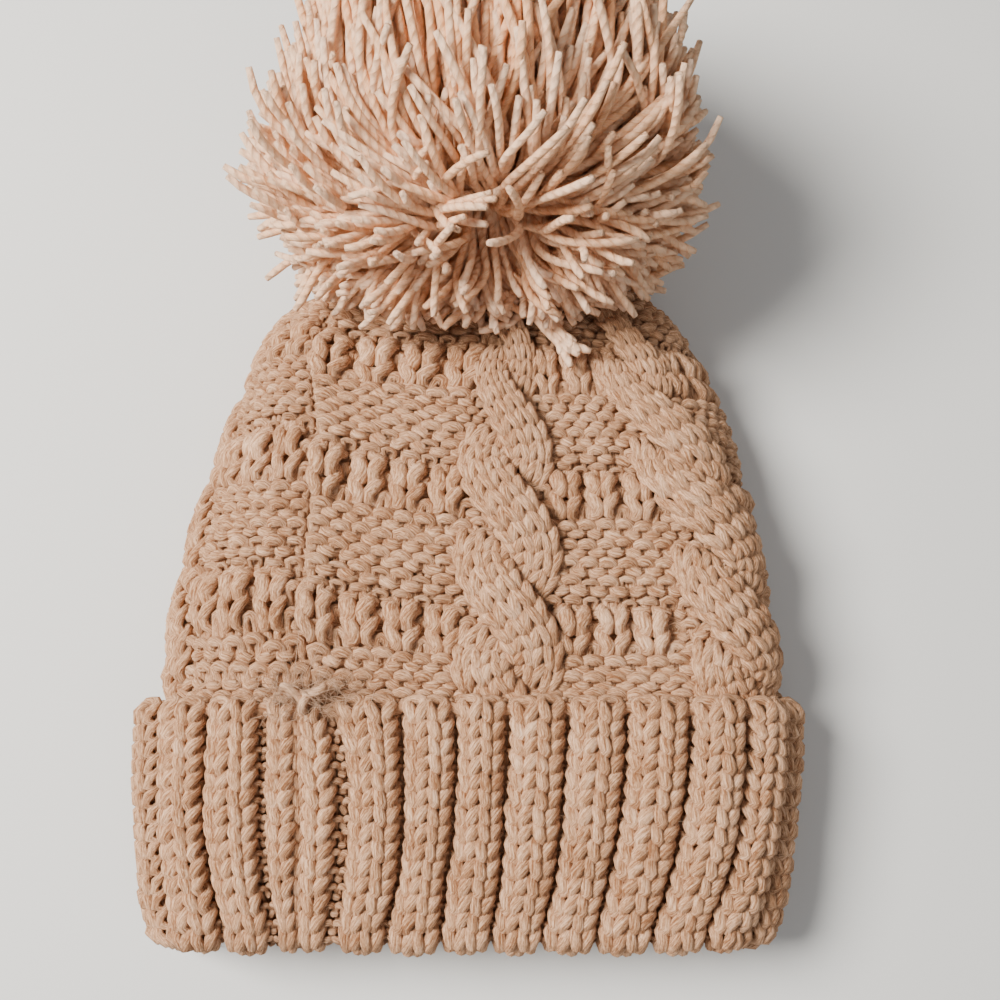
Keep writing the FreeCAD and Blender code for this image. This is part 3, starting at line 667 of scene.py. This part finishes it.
def yarn_material(name, shade, mid, light, pale, relief, sheen=0.3, ply_pitch=0.0):
    """Matte yarn: streaks along the fibre, the piece's tone, and grooves between its plies; streaks
    and grooves carry painted shade.
    """
    material = bpy.data.materials.new(name)
    material.use_nodes = True
    nodes, links = material.node_tree.nodes, material.node_tree.links

    def attribute(attribute_name):
        node = nodes.new("ShaderNodeAttribute")
        node.attribute_name = attribute_name
        return node.outputs

    def maths(operation, *values):
        """A sum whose values are numbers or the sockets they come from."""
        node = nodes.new("ShaderNodeMath")
        node.operation = operation
        for socket, value in zip(node.inputs, values):
            if isinstance(value, float):
                socket.default_value = value
            else:
                links.new(value, socket)
        return node.outputs["Value"]

    def axis(vector, letter):
        node = nodes.new("ShaderNodeSeparateXYZ")
        links.new(vector, node.inputs["Vector"])
        return node.outputs[letter]

    def bump(height, strength, distance, socket):
        node = nodes.new("ShaderNodeBump")
        node.inputs["Strength"].default_value = strength
        node.inputs["Distance"].default_value = distance
        links.new(height, node.inputs["Height"])
        links.new(node.outputs["Normal"], socket)
        return node.inputs["Normal"]

    fibre = attribute("fibre")["Vector"]
    if ply_pitch:
        rotate = nodes.new("ShaderNodeVectorRotate")
        rotate.rotation_type = "X_AXIS"
        links.new(fibre, rotate.inputs["Vector"])
        links.new(maths("MULTIPLY", axis(fibre, "X"), TAU / ply_pitch), rotate.inputs["Angle"])
        fibre = rotate.outputs["Vector"]
    stretch = nodes.new("ShaderNodeMapping")
    stretch.inputs["Scale"].default_value = (0.13, 1.0, 1.0)
    links.new(fibre, stretch.inputs["Vector"])
    fine = nodes.new("ShaderNodeTexNoise")
    fine.inputs["Scale"].default_value = 1.9
    fine.inputs["Detail"].default_value = 4.0
    fine.inputs["Roughness"].default_value = 0.7
    links.new(stretch.outputs["Vector"], fine.inputs["Vector"])
    # The streaks' colour and their bump come from the same noise: the colour is painted shade where
    # the bump dips between the fibres and painted highlight, lighter, on its ridges.
    colour_place = maths("MULTIPLY_ADD", attribute("tone")["Fac"], 0.35, fine.outputs["Fac"])
    # Painted shade in the grooves between the plies.
    if ply_pitch:
        groove = maths("ABSOLUTE", axis(fibre, "Y"))
        lower = maths("SUBTRACT", colour_place, PLY_GROOVE_PAINTED_SHADE[1])
        colour_place = maths("MULTIPLY_ADD", groove, PLY_GROOVE_PAINTED_SHADE[0], lower)
    ramp = nodes.new("ShaderNodeValToRGB")
    ramp.color_ramp.elements[0].position = 0.37
    ramp.color_ramp.elements[0].color = shade + (1.0,)
    ramp.color_ramp.elements[1].position = 0.95
    ramp.color_ramp.elements[1].color = pale + (1.0,)
    for position, colour in ((0.5, mid), (0.64, light)):
        ramp.color_ramp.elements.new(position).color = colour + (1.0,)
    links.new(colour_place, ramp.inputs["Fac"])
    shader = nodes["Principled BSDF"]
    links.new(ramp.outputs["Color"], shader.inputs["Base Color"])
    below = bump(fine.outputs["Fac"], 0.9, relief, shader.inputs["Normal"])
    if ply_pitch:
        bump(groove, 1.0, PLY_RELIEF, below)
    for socket, value in (("Roughness", 0.88), ("Sheen Weight", sheen),
                          ("Sheen Tint", light + (1.0,)), ("Sheen Roughness", 0.5),
                          ("Specular IOR Level", 0.25)):
        shader.inputs[socket].default_value = value
    return material


HAT_YARN = yarn_material("hat_yarn_knit", (0.28, 0.11, 0.042), (0.56, 0.30, 0.157),
                         (0.86, 0.54, 0.335), (0.95, 0.70, 0.51), relief=0.0013)
TIE_YARN = yarn_material("tie_yarn_twisted", (0.50, 0.27, 0.17), (0.70, 0.44, 0.31),
                         (0.80, 0.57, 0.44), (0.86, 0.68, 0.57), relief=0.0010)
POM_YARN = yarn_material("pom_yarn_cut", (0.92, 0.46, 0.22), (1.0, 0.60, 0.35),
                         (1.0, 0.66, 0.43), (1.0, 0.72, 0.54), relief=0.0005, sheen=0.6,
                         ply_pitch=7.0)


# Each piece's material, body and slot.
HAT = (HAT_YARN, "hat", "hat_yarn")
POM = (POM_YARN, "pom", "pom_yarn")


# ---- the hat ----

# Samples in a stitch and sides of its yarn, in front and behind.
FINE = (14, 8)
PLAIN = (10, 6)
# Where each panel starts and ends, its number of columns and its detail.
PANELS = [
    (0.1, 6.5, 7, FINE),
    (12.5, 18.5, 6, FINE),
    (24.5, 30.5, 6, FINE),
    (36.5, 42.5, 6, PLAIN),
    (48.5, 54.5, 6, PLAIN),
    (60.5, 65.9, 6, FINE),
]
# Where each cable starts, the phase of its crossings, its rise and its detail.
CABLES = [
    (6.5, 2.4, 3.0, FINE),
    (18.5, 2.75, 3.0, FINE),
    (30.5, 1.2, 2.6, PLAIN),
    (42.5, 0.3, 2.6, PLAIN),
    (54.5, 2.0, 1.4, FINE),
]
GROUND_INSET = 1.9
SEAM_YARN = 1.2
CAST_ON_YARN = 1.9
CAST_ON_WAVE = 7.0


def make_ground(name, outlines, y, inset):
    """The closed layer behind the yarn."""
    along = np.linspace(-1, 1, 260, endpoint=False)[None, :] * half_girth(outlines, y[:, None])
    points, _ = on_tube(outlines, y[:, None] + 0 * along, along, YARN_INSET + inset)
    make_object(name, [sheet_mesh(points)], *HAT)


def make_body():
    for i, (start, end, columns, detail) in enumerate(PANELS):
        part = panel(start, end, columns, 100 + 10 * i, *detail)
        make_object("panel_courses_%d" % (i + 1), [part], *HAT,
                    ["body_panel", "crown_gather"] if i == 0 else [])
    for i, (left, phase, rise, detail) in enumerate(CABLES):
        make_object("cable_courses_%d" % (i + 1), cable(left, phase, rise, 300 + 10 * i, *detail),
                    *HAT, ["cable_%d" % (i + 1)])
    make_ground("body_ground", BODY_OUTLINES, np.linspace(-99.0, 69.0, 120), GROUND_INSET)


def make_cuff():
    columns = len(RIB_KINDS)
    front = 4 * len(RIB_GAPS) + 6      # the columns that show, and a few round the side
    top_row = int((OUTER_LENGTH + CURL_LENGTH) / RIB_PITCH)
    for name, low, high, rows, detail, seed, nodes in (
            ("cuff_rib_front", 0, front, (-2, top_row), FINE, 500, ["cuff_outer"]),
            ("cuff_rib_back", front, columns, (-2, top_row), PLAIN, 520, ["cuff_fold"]),
            ("cuff_rib_inside", 0, columns, (-14, -2), PLAIN, 540, ["cuff_inner"])):
        part = cuff_courses(low, high, rows[0], rows[1], *detail, seed)
        make_object(name, [part], *HAT, nodes)
    make_ground("cuff_ground", CUFF_OUTLINES, np.linspace(-155.0, -90.0, 30), FOLD_RADIUS)
    y = np.full(700, CUFF_TOP - 2.2)
    along = np.linspace(-1, 1, 700) * half_girth(CUFF_OUTLINES, y)
    sway = np.sin(along * TAU / CAST_ON_WAVE)
    point, normal = on_tube(CUFF_OUTLINES, y + 0.5 * sway, along, YARN_INSET + CAST_ON_YARN)
    strand = tubes(point[None], normal[None], CAST_ON_YARN, 8, twist=YARN_TWIST)
    make_object("cast_on_yarn", [strand], *HAT, ["cast_on_edge"])


def make_seams():
    steps = np.arange(0, 400) / 399
    y = -86 + 145 * steps
    along = body_along(np.zeros_like(y), y)
    sway = -1.0 + 1.8 * np.sin(y * TAU / 5.2) + wobble(y.shape, 0.1, 3)
    point, normal = on_tube(BODY_OUTLINES, y, along + sway, YARN_INSET + 2.4)
    strand = tubes(point[None], normal[None], SEAM_YARN, 8, twist=YARN_TWIST)
    make_object("seam_yarn", [strand], *HAT, ["side_seam"])
    y = np.linspace(-153.0, -88.0, 200)
    along = along_of_x(CUFF_OUTLINES, y, smooth_curve(y, RIB_Y, CUFF_SEAM_X))
    sway = 1.5 * np.sin(y * TAU / RIB_PITCH)
    point, normal = on_tube(CUFF_OUTLINES, y, along - 1.2 + sway, YARN_INSET + 2.0)
    strand = tubes(point[None], normal[None], SEAM_YARN, 8, twist=YARN_TWIST)
    make_object("cuff_seam_yarn", [strand], *HAT, ["cuff_seam"])


# ---- the pom ----

# The strands part round a line from the pom's middle towards the hat.
PARTING = unit(np.array([0.06, -0.98, 0.20]))
SIDEWAYS = unit(np.array([0.98, 0.06, 0.0]))
UPWARDS = np.cross(PARTING, SIDEWAYS)
PARTING_GAP = math.radians(19)
NEAR_PARTING = math.radians(75)
COMBING = math.radians(50)  # how far the strands above the parting are combed up
CLUMPS = 640
CLUMP_STRANDS = 10
STRAND_LENGTH = 67.5
STRAND_RADIUS = 1.3
STRAND_SIDES = 6
STRAND_WAVE = 3.4
TIP_HOOK = 4.0
TRIM = 0.85  # how fully a bent strand is brought back to its own reach
SIDE_BULGE = 0.15  # the pom is fuller at its sides, low down, and slimmer above
SIDE_TRIM = 0.13
UPPER_NARROWING = 0.13
UPPER_START = -30.0
UPPER_SHIFT = 2.0
CORE_RADIUS = 50.0  # a ball of the same yarn behind the strands
CORE_DENT = 0.74  # how much of it is cut away at the parting
CORE_GAP = 19.0
STRAND_GAP = (1.5, 11.0)  # how far over the crown its lowest strands lie
BURIED = 24.0  # strands that start this far inside the crown are left out
SOFTNESS = 2.5
CEILING = 138.0
CROWN_END_Y = 70.0
CROWN_SHOULDER = 18.0
CROWN_RELIEF = 4.0  # how far the stitches stand over the crown's outline
# Strands out of place: a point each bunch passes over, where it ends, and how many strands it has.
LOOSE_STRANDS = [
    ((22.0, 48.0, 46.0), (4.0, 34.0, 43.0), 1),
    ((22.0, 45.0, 46.0), (36.0, 27.0, 42.0), 9),
]


def polar(lean, heading):
    """A direction from its angle off the parting and its angle round it."""
    return (np.cos(lean)[..., None] * PARTING + np.sin(lean)[..., None]
            * (np.cos(heading)[..., None] * SIDEWAYS + np.sin(heading)[..., None] * UPWARDS))


def crown_height(x, y):
    """The height of the hat's top under a point, and how far the point is inside its outline."""
    half, middle, base, top, _ = outline_sizes(BODY_OUTLINES, y)
    inside = np.clip((half - np.abs(x - middle)) / CROWN_SHOULDER, 0, 1)
    height = base + (top + CROWN_RELIEF - base) * np.sin(inside * math.pi / 2)
    return height, (y < CROWN_END_Y) & (inside > 0)


def lift_clear(points, gap=STRAND_GAP[0]):
    """Lay strands on the crown and on whatever the pom rests on."""
    x, y, z = points[..., 0], points[..., 1], points[..., 2]
    top, over = crown_height(x, y)
    low = np.where(over, top + gap, gap + 0.5)
    z = z - np.logaddexp(0, (z - CEILING) / SOFTNESS) * SOFTNESS
    points[..., 2] = low + np.logaddexp(0, (z - low) / SOFTNESS) * SOFTNESS
    return points


def strand_paths(lean, heading, swirl, droop, reach, start, samples, seed):
    """Strands that leave the binding near the parting and are combed away from it."""
    count = len(lean)
    rng = np.random.default_rng(seed)
    s = np.linspace(0, 1, samples)[None, :] * (1 - start[:, None]) + start[:, None]
    combed = np.clip((np.sin(heading) + 0.15) / 0.8, 0.2, 1)
    root = lean * (1 - 0.62 * combed * np.exp(-(lean / math.radians(95)) ** 2))
    tip = lean + combed * COMBING * np.exp(-((lean - math.radians(55)) / math.radians(48)) ** 2)
    bend = np.clip((s - 0.2) / 0.8, 0, 1) ** 1.8
    leans = root[:, None] + (tip - root)[:, None] * bend
    headings = heading[:, None] + swirl[:, None] * s ** 2
    out = polar(leans, headings)
    points = POM_MIDDLE + out * (reach[:, None] * s)[..., None] + droop[:, None, :] * s[..., None] ** 2
    for axis in range(3):
        phase = rng.uniform(0, TAU, count)[:, None]
        waves = rng.uniform(0.7, 2.1, count)[:, None]
        size = rng.normal(0, STRAND_WAVE, count)[:, None]
        points[..., axis] += size * s * np.sin(phase + waves * TAU * s)
    hook = rng.normal(0, TIP_HOOK, (count, 1, 3)) * s[..., None] ** 4
    points = points + hook
    trimmed = POM_MIDDLE + unit(points - POM_MIDDLE) * (reach[:, None] * s)[..., None]
    points = points + (trimmed - points) * TRIM
    upper = np.clip(1 - (points[..., 1] - POM_MIDDLE[1]) / UPPER_START, 0, 1)
    points[..., 0] += upper * (UPPER_SHIFT - UPPER_NARROWING * (points[..., 0] - POM_MIDDLE[0]))
    return lift_clear(points, rng.uniform(*STRAND_GAP, count)[:, None])


def loose_strands(over, end, count, seed):
    """Strands that have slipped out of the ball and lie on the crown."""
    rng = np.random.default_rng(seed)
    s = np.linspace(0, 1, 24)[None, :, None]
    start = np.broadcast_to(POM_MIDDLE + PARTING * CORE_RADIUS * 0.5, (count, 1, 3))
    over = np.array(over) + rng.normal(0, 1.6, (count, 1, 3))
    end = np.array(end) + rng.normal(0, 2.4 * (count > 1), (count, 1, 3)) * np.array([1, 1, 0.3])
    ahead = 2 * over - (start + end) / 2
    return lift_clear(start * (1 - s) ** 2 + ahead * 2 * s * (1 - s) + end * s * s)


def cut_yarn(points, tone):
    """Strands of yarn, fuller and paler at the cut end."""
    side = unit(np.cross(unit(points[:, -1] - POM_MIDDLE), UP + 0.01))[:, None, :] + 0 * points
    length = path_length(points)
    left = length[:, -1:] - length
    radius = STRAND_RADIUS * (1 + 0.28 * np.clip(1 - left / 7.0, 0, 1) ** 2)
    shade = tone[:, None] + 0.35 * np.clip(1 - left / 9.0, 0, 1)
    return tubes(points, side, radius, STRAND_SIDES, tone=shade)


def pom_directions():
    """Clumps spread evenly over the ball, and the strands of each."""
    rng = np.random.default_rng(21)
    index = np.arange(CLUMPS)
    height = 1 - 2 * (index + 0.5) / CLUMPS
    turn = index * math.pi * (3 - math.sqrt(5)) + rng.normal(0, 0.05, CLUMPS)
    lean = np.repeat(np.arccos(height), CLUMP_STRANDS)
    heading = np.repeat(turn, CLUMP_STRANDS)
    count = len(lean)
    centre = polar(lean, heading)
    strand = unit(centre + rng.normal(0, 0.075, (count, 3)))
    lean = np.arccos(np.clip(strand @ PARTING, -1, 1))
    heading = np.arctan2(strand @ UPWARDS, strand @ SIDEWAYS)
    swirl = np.repeat(rng.normal(0, 0.40, CLUMPS), CLUMP_STRANDS) + rng.normal(0, 0.16, count)
    droop = np.repeat(rng.normal(0, 6.0, (CLUMPS, 3)), CLUMP_STRANDS, axis=0)
    reach = STRAND_LENGTH * (1 + np.repeat(rng.normal(0, 0.03, CLUMPS), CLUMP_STRANDS)
                             + rng.normal(0, 0.05, count))
    tone = np.repeat(rng.normal(0, 0.12, CLUMPS), CLUMP_STRANDS) + rng.normal(0, 0.12, count)
    shortest = np.where(np.abs(strand[:, 0]) < 0.4, 38.0, 32.0) + rng.normal(0, 3.0, count)
    bulge = SIDE_BULGE * np.abs(strand[:, 0]) * np.exp(-((strand[:, 1] + 0.5) / 0.3) ** 2)
    slim = SIDE_TRIM * strand[:, 0] ** 2 * np.clip((strand[:, 1] + 0.35) / 0.6, 0, 1)
    reach = reach * (1 + bulge - slim)
    over = POM_MIDDLE[1] + strand[:, 1] * reach < shortest
    reach = np.where(over, (shortest - POM_MIDDLE[1]) / strand[:, 1], reach)
    mid = POM_MIDDLE + strand * reach[:, None] * 0.6
    top, over = crown_height(mid[:, 0], mid[:, 1])
    buried = over & (mid[:, 2] < top - BURIED)
    keep = (lean > PARTING_GAP) & ~buried
    return [a[keep] for a in (strand, lean, heading, swirl, droop, reach, tone)]


def make_pom():
    strand, lean, heading, swirl, droop, reach, tone = pom_directions()
    front = np.array([0.0, -POM_AXIS[2], POM_AXIS[1]])
    sector = np.round(np.degrees(np.arctan2(strand @ SIDEWAYS, strand @ front)) / 36).astype(int) % 10
    for k in range(10):
        parts = []
        for near, first, samples in ((True, 0.12, 20), (False, 0.60, 9)):
            here = (sector == k) & ((lean < NEAR_PARTING) == near)
            points = strand_paths(lean[here], heading[here], swirl[here], droop[here], reach[here],
                                  np.full(here.sum(), first), samples, 700 + k)
            parts.append(cut_yarn(points, tone[here]))
        if k == 0:
            for i, (over, end, count) in enumerate(LOOSE_STRANDS):
                parts.append(cut_yarn(loose_strands(over, end, count, 760 + i), np.full(count, 0.1)))
        make_object("pom_strands_%d" % (k + 1), parts, *POM,
                    ["pom_tuft_%d" % (k + 1)] + (["pom_binding"] if k == 0 else []))
    turn = np.linspace(0, math.pi, 40)[:, None]
    round_it = np.linspace(0, TAU, 80, endpoint=False)[None, :]
    ball = polar(turn + 0 * round_it, round_it + 0 * turn)
    bumps = 1 + 0.06 * np.sin(7 * turn + 5 * round_it) * np.sin(9 * turn)
    dent = 1 - CORE_DENT * np.exp(-(turn / math.radians(52)) ** 2)
    core = lift_clear(POM_MIDDLE + ball * (CORE_RADIUS * bumps * dent)[..., None], CORE_GAP)
    make_object("pom_core", [sheet_mesh(core)], *POM)


# ---- the tie, and loose fibres ----

def rope(points, radius, pitch, normal=(1.0, 0.0, 0.0)):
    """Three plies twisted together along a path."""
    path = points[None]
    side = np.broadcast_to(np.array(normal), path.shape)
    across, outward = frame_along(path, side)
    turn = path_length(path) * TAU / pitch
    parts = []
    for ply in range(3):
        angle = turn + ply * TAU / 3
        ring = (np.cos(angle)[..., None] * across + np.sin(angle)[..., None] * outward) * radius * 0.5
        parts.append(tubes(path + ring, side, radius * 0.56, 6, twist=0.3))
    return parts


def line(start, end, samples, bow=0.0):
    s = np.linspace(0, 1, samples)[:, None]
    return np.array(start) * (1 - s) + np.array(end) * s + np.array([bow, 0, 0]) * np.sin(math.pi * s)


def ring_path(middle, radius, turns, samples, along, axis_a, axis_b):
    t = np.linspace(0, TAU * turns, samples)[:, None]
    drift = np.array(along) * (t / (TAU * turns) - 0.5)
    ring = np.cos(t) * np.array(axis_a) + np.sin(t) * np.array(axis_b)
    return np.array(middle) + drift + radius * ring


def make_tie():
    x, y, z = PIVOT
    across, up, ahead = (1.0, 0.0, 0.0), (0.0, 0.0, 1.0), (0.0, 1.0, 0.0)
    gather = ring_path((x, 65.4, z), 10.6, 2.97, 260, (0, 4.4, 0), across, up)
    make_object("gather_yarn_turns", rope(gather, 1.5, 8.0, ahead), TIE_YARN, "hat", "tie_yarn",
                ["gather_yarn"])
    shank = line((x, 55.0, z), (x, 71.0, z), 40)
    make_object("tie_shank_yarn", rope(shank, 2.3, 9.0), TIE_YARN, "hat", "tie_yarn", ["tie_shank"])
    turns = ring_path((x, 50.5, z), 4.0, 2.0, 90, (0, 5, 0), across, up)
    crossing = ring_path((x, 51.5, z), 3.6, 1.4, 70, (3, 0, 0), ahead, up)
    knot = rope(turns, 1.9, 8.0, ahead) + rope(crossing, 1.9, 8.0)
    make_object("anchor_knot_yarn", knot, TIE_YARN, "hat", "tie_yarn", ["anchor_knot"])
    loop = line((x, 72.8, 25.0), (x, 77.4, 32.0), 24)
    make_object("tie_loop_yarn", rope(loop, 2.3, 9.0), TIE_YARN, "tie_lower", "tie_yarn", ["tie_loop"])
    neck = line((x, 77.2, 31.6), (x, 91.0, 56.0), 60)
    make_object("tie_neck_yarn", rope(neck, 2.3, 9.0), TIE_YARN, "tie_upper", "tie_yarn", ["tie_neck"])


def hairs(roots, directions, length, radius, seed, tone=0.6):
    """Fine curved fibres that stand off the yarn."""
    rng = np.random.default_rng(seed)
    count = len(roots)
    s = np.linspace(0, 1, 5)[None, :, None]
    bend = rng.normal(0, 0.45, (count, 1, 3))
    size = (length * rng.uniform(0.5, 1.4, count))[:, None, None]
    points = roots[:, None, :] + size * (directions[:, None, :] * s + bend * s * s)
    points[..., 2] = np.maximum(points[..., 2], 0.3)
    side = np.cross(directions, rng.normal(0, 1, (count, 3)))[:, None, :] + 0 * points
    thin = radius * (1 - 0.6 * s[..., 0]) * np.ones((count, 1))
    return tubes(points, side, thin, 4, tone=tone)


def fuzz(name, piece_names, count, length, radius, material, body, slot_name, seed):
    """Loose fibres rooted all over some pieces."""
    rng = np.random.default_rng(seed)
    places, normals = [], []
    for piece_name in piece_names:
        mesh = bpy.data.objects[piece_name].data
        place = np.empty(len(mesh.vertices) * 3, np.float32)
        normal = np.empty(len(mesh.vertices) * 3, np.float32)
        mesh.vertices.foreach_get("co", place)
        mesh.vertex_normals.foreach_get("vector", normal)
        places.append(place.reshape(-1, 3) / MM)
        normals.append(normal.reshape(-1, 3))
    place, normal = np.concatenate(places), np.concatenate(normals)
    pick = rng.integers(0, len(place), count)
    direction = unit(normal[pick] + rng.normal(0, 0.6, (count, 3)))
    make_object(name, [hairs(place[pick], direction, length, radius, seed + 1)], material, body,
                slot_name)


KNOT_HAIRS = 240
LONG_HAIRS = 12


def make_seam_knot():
    """The tangle of yarn ends at the top of the cuff's seam."""
    low, high = node_box("seam_knot")
    middle = (low + high) / 2 - np.array([0.0, 1.0, 3.2])
    t = np.linspace(0, TAU, 120)
    tangle = middle + np.stack([4.6 * np.sin(t) + 2.6 * np.sin(2 * t),
                                2.4 * np.cos(t) - 2.2 * np.cos(2 * t),
                                1.6 * np.sin(3 * t)], axis=-1)
    side = np.broadcast_to(UP, tangle.shape)
    rng = np.random.default_rng(31)
    roots = middle + rng.normal(0, 1, (KNOT_HAIRS, 3)) * np.array([8.0, 3.4, 1.2])
    directions = unit(rng.normal(0, 1, (KNOT_HAIRS, 3)) * np.array([1.0, 0.8, 0.5])
                      + np.array([0, 0.2, 0.5]))
    parts = [tubes(tangle[None], side[None], 1.35, 8, twist=0.25, tone=0.3),
             hairs(roots, directions, 6.0, 0.10, 32),
             hairs(roots[:LONG_HAIRS], directions[:LONG_HAIRS], 16.0, 0.14, 33)]
    make_object("seam_knot_yarn", parts, *HAT, ["seam_knot"])


make_body()
make_cuff()
make_seams()
make_pom()
make_tie()
make_seam_knot()
BODY_FUZZ_ON = ["panel_courses_1", "panel_courses_2", "panel_courses_6", "cable_courses_1",
                "cable_courses_2", "cable_courses_5"]
CUFF_FUZZ_ON = ["cuff_rib_front", "cuff_rib_back"]
POM_FUZZ_ON = ["pom_strands_%d" % (k + 1) for k in range(10)]
fuzz("hat_fuzz_body", BODY_FUZZ_ON, 4200, 2.8, 0.06, *HAT, 41)
fuzz("hat_fuzz_cuff", CUFF_FUZZ_ON, 3600, 2.6, 0.06, *HAT, 43)
fuzz("pom_fuzz", POM_FUZZ_ON, 4000, 3.0, 0.08, *POM, 45)

# ---- the stage ----

CAMERA_AIM = np.array([11.0, -12.7, 0.0])
CAMERA_TILT = math.radians(14.0)
CAMERA_FAR = 407.0
FIELD_OF_VIEW = math.radians(48.0)
FLOOR_COLOUR = (0.66, 0.655, 0.63, 1.0)
WORLD_COLOUR = (0.95, 0.97, 1.0, 1.0)
WORLD_STRENGTH = 0.31
LIGHTS_AIM = np.array([0.0, 0.0, 0.03])


def make_stage():
    floor_mesh = bpy.data.meshes.new("floor")
    reach = 3.0
    floor_mesh.from_pydata([(-reach, -reach, 0), (reach, -reach, 0), (reach, reach, 0),
                            (-reach, reach, 0)], [], [(0, 1, 2, 3)])
    floor = bpy.data.objects.new("floor", floor_mesh)
    bpy.context.scene.collection.objects.link(floor)
    material = bpy.data.materials.new("pale_floor")
    material.use_nodes = True
    shader = material.node_tree.nodes["Principled BSDF"]
    shader.inputs["Base Color"].default_value = FLOOR_COLOUR
    shader.inputs["Roughness"].default_value = 0.9
    floor_mesh.materials.append(material)

    camera_data = bpy.data.cameras.new("camera")
    camera_data.lens_unit = "FOV"
    camera_data.angle = FIELD_OF_VIEW
    camera = bpy.data.objects.new("camera", camera_data)
    bpy.context.scene.collection.objects.link(camera)
    camera.rotation_euler = (CAMERA_TILT, 0.0, 0.0)
    back = np.array([0.0, -math.sin(CAMERA_TILT), math.cos(CAMERA_TILT)])
    camera.location = (CAMERA_AIM + back * CAMERA_FAR) * MM
    bpy.context.scene.camera = camera

    def area_light(name, place, size, power, colour):
        data = bpy.data.lights.new(name, "AREA")
        data.shape = "DISK"
        data.size = size
        data.energy = power
        data.color = colour
        light = bpy.data.objects.new(name, data)
        bpy.context.scene.collection.objects.link(light)
        light.location = place
        aim = LIGHTS_AIM - np.array(place)
        yaw = math.atan2(aim[1], aim[0]) - math.pi / 2
        pitch = math.atan2(math.hypot(aim[0], aim[1]), -aim[2])
        light.rotation_euler = (pitch, 0.0, yaw)

    area_light("key", (-0.80, 0.10, 1.05), 0.62, 46.0, (1.0, 0.97, 0.93))
    area_light("fill", (0.7, -0.9, 1.2), 1.2, 4.0, (0.98, 0.98, 1.0))
    world = bpy.data.worlds.new("studio")
    bpy.context.scene.world = world
    world.use_nodes = True
    background = world.node_tree.nodes["Background"]
    background.inputs["Color"].default_value = WORLD_COLOUR
    background.inputs["Strength"].default_value = WORLD_STRENGTH


make_stage()
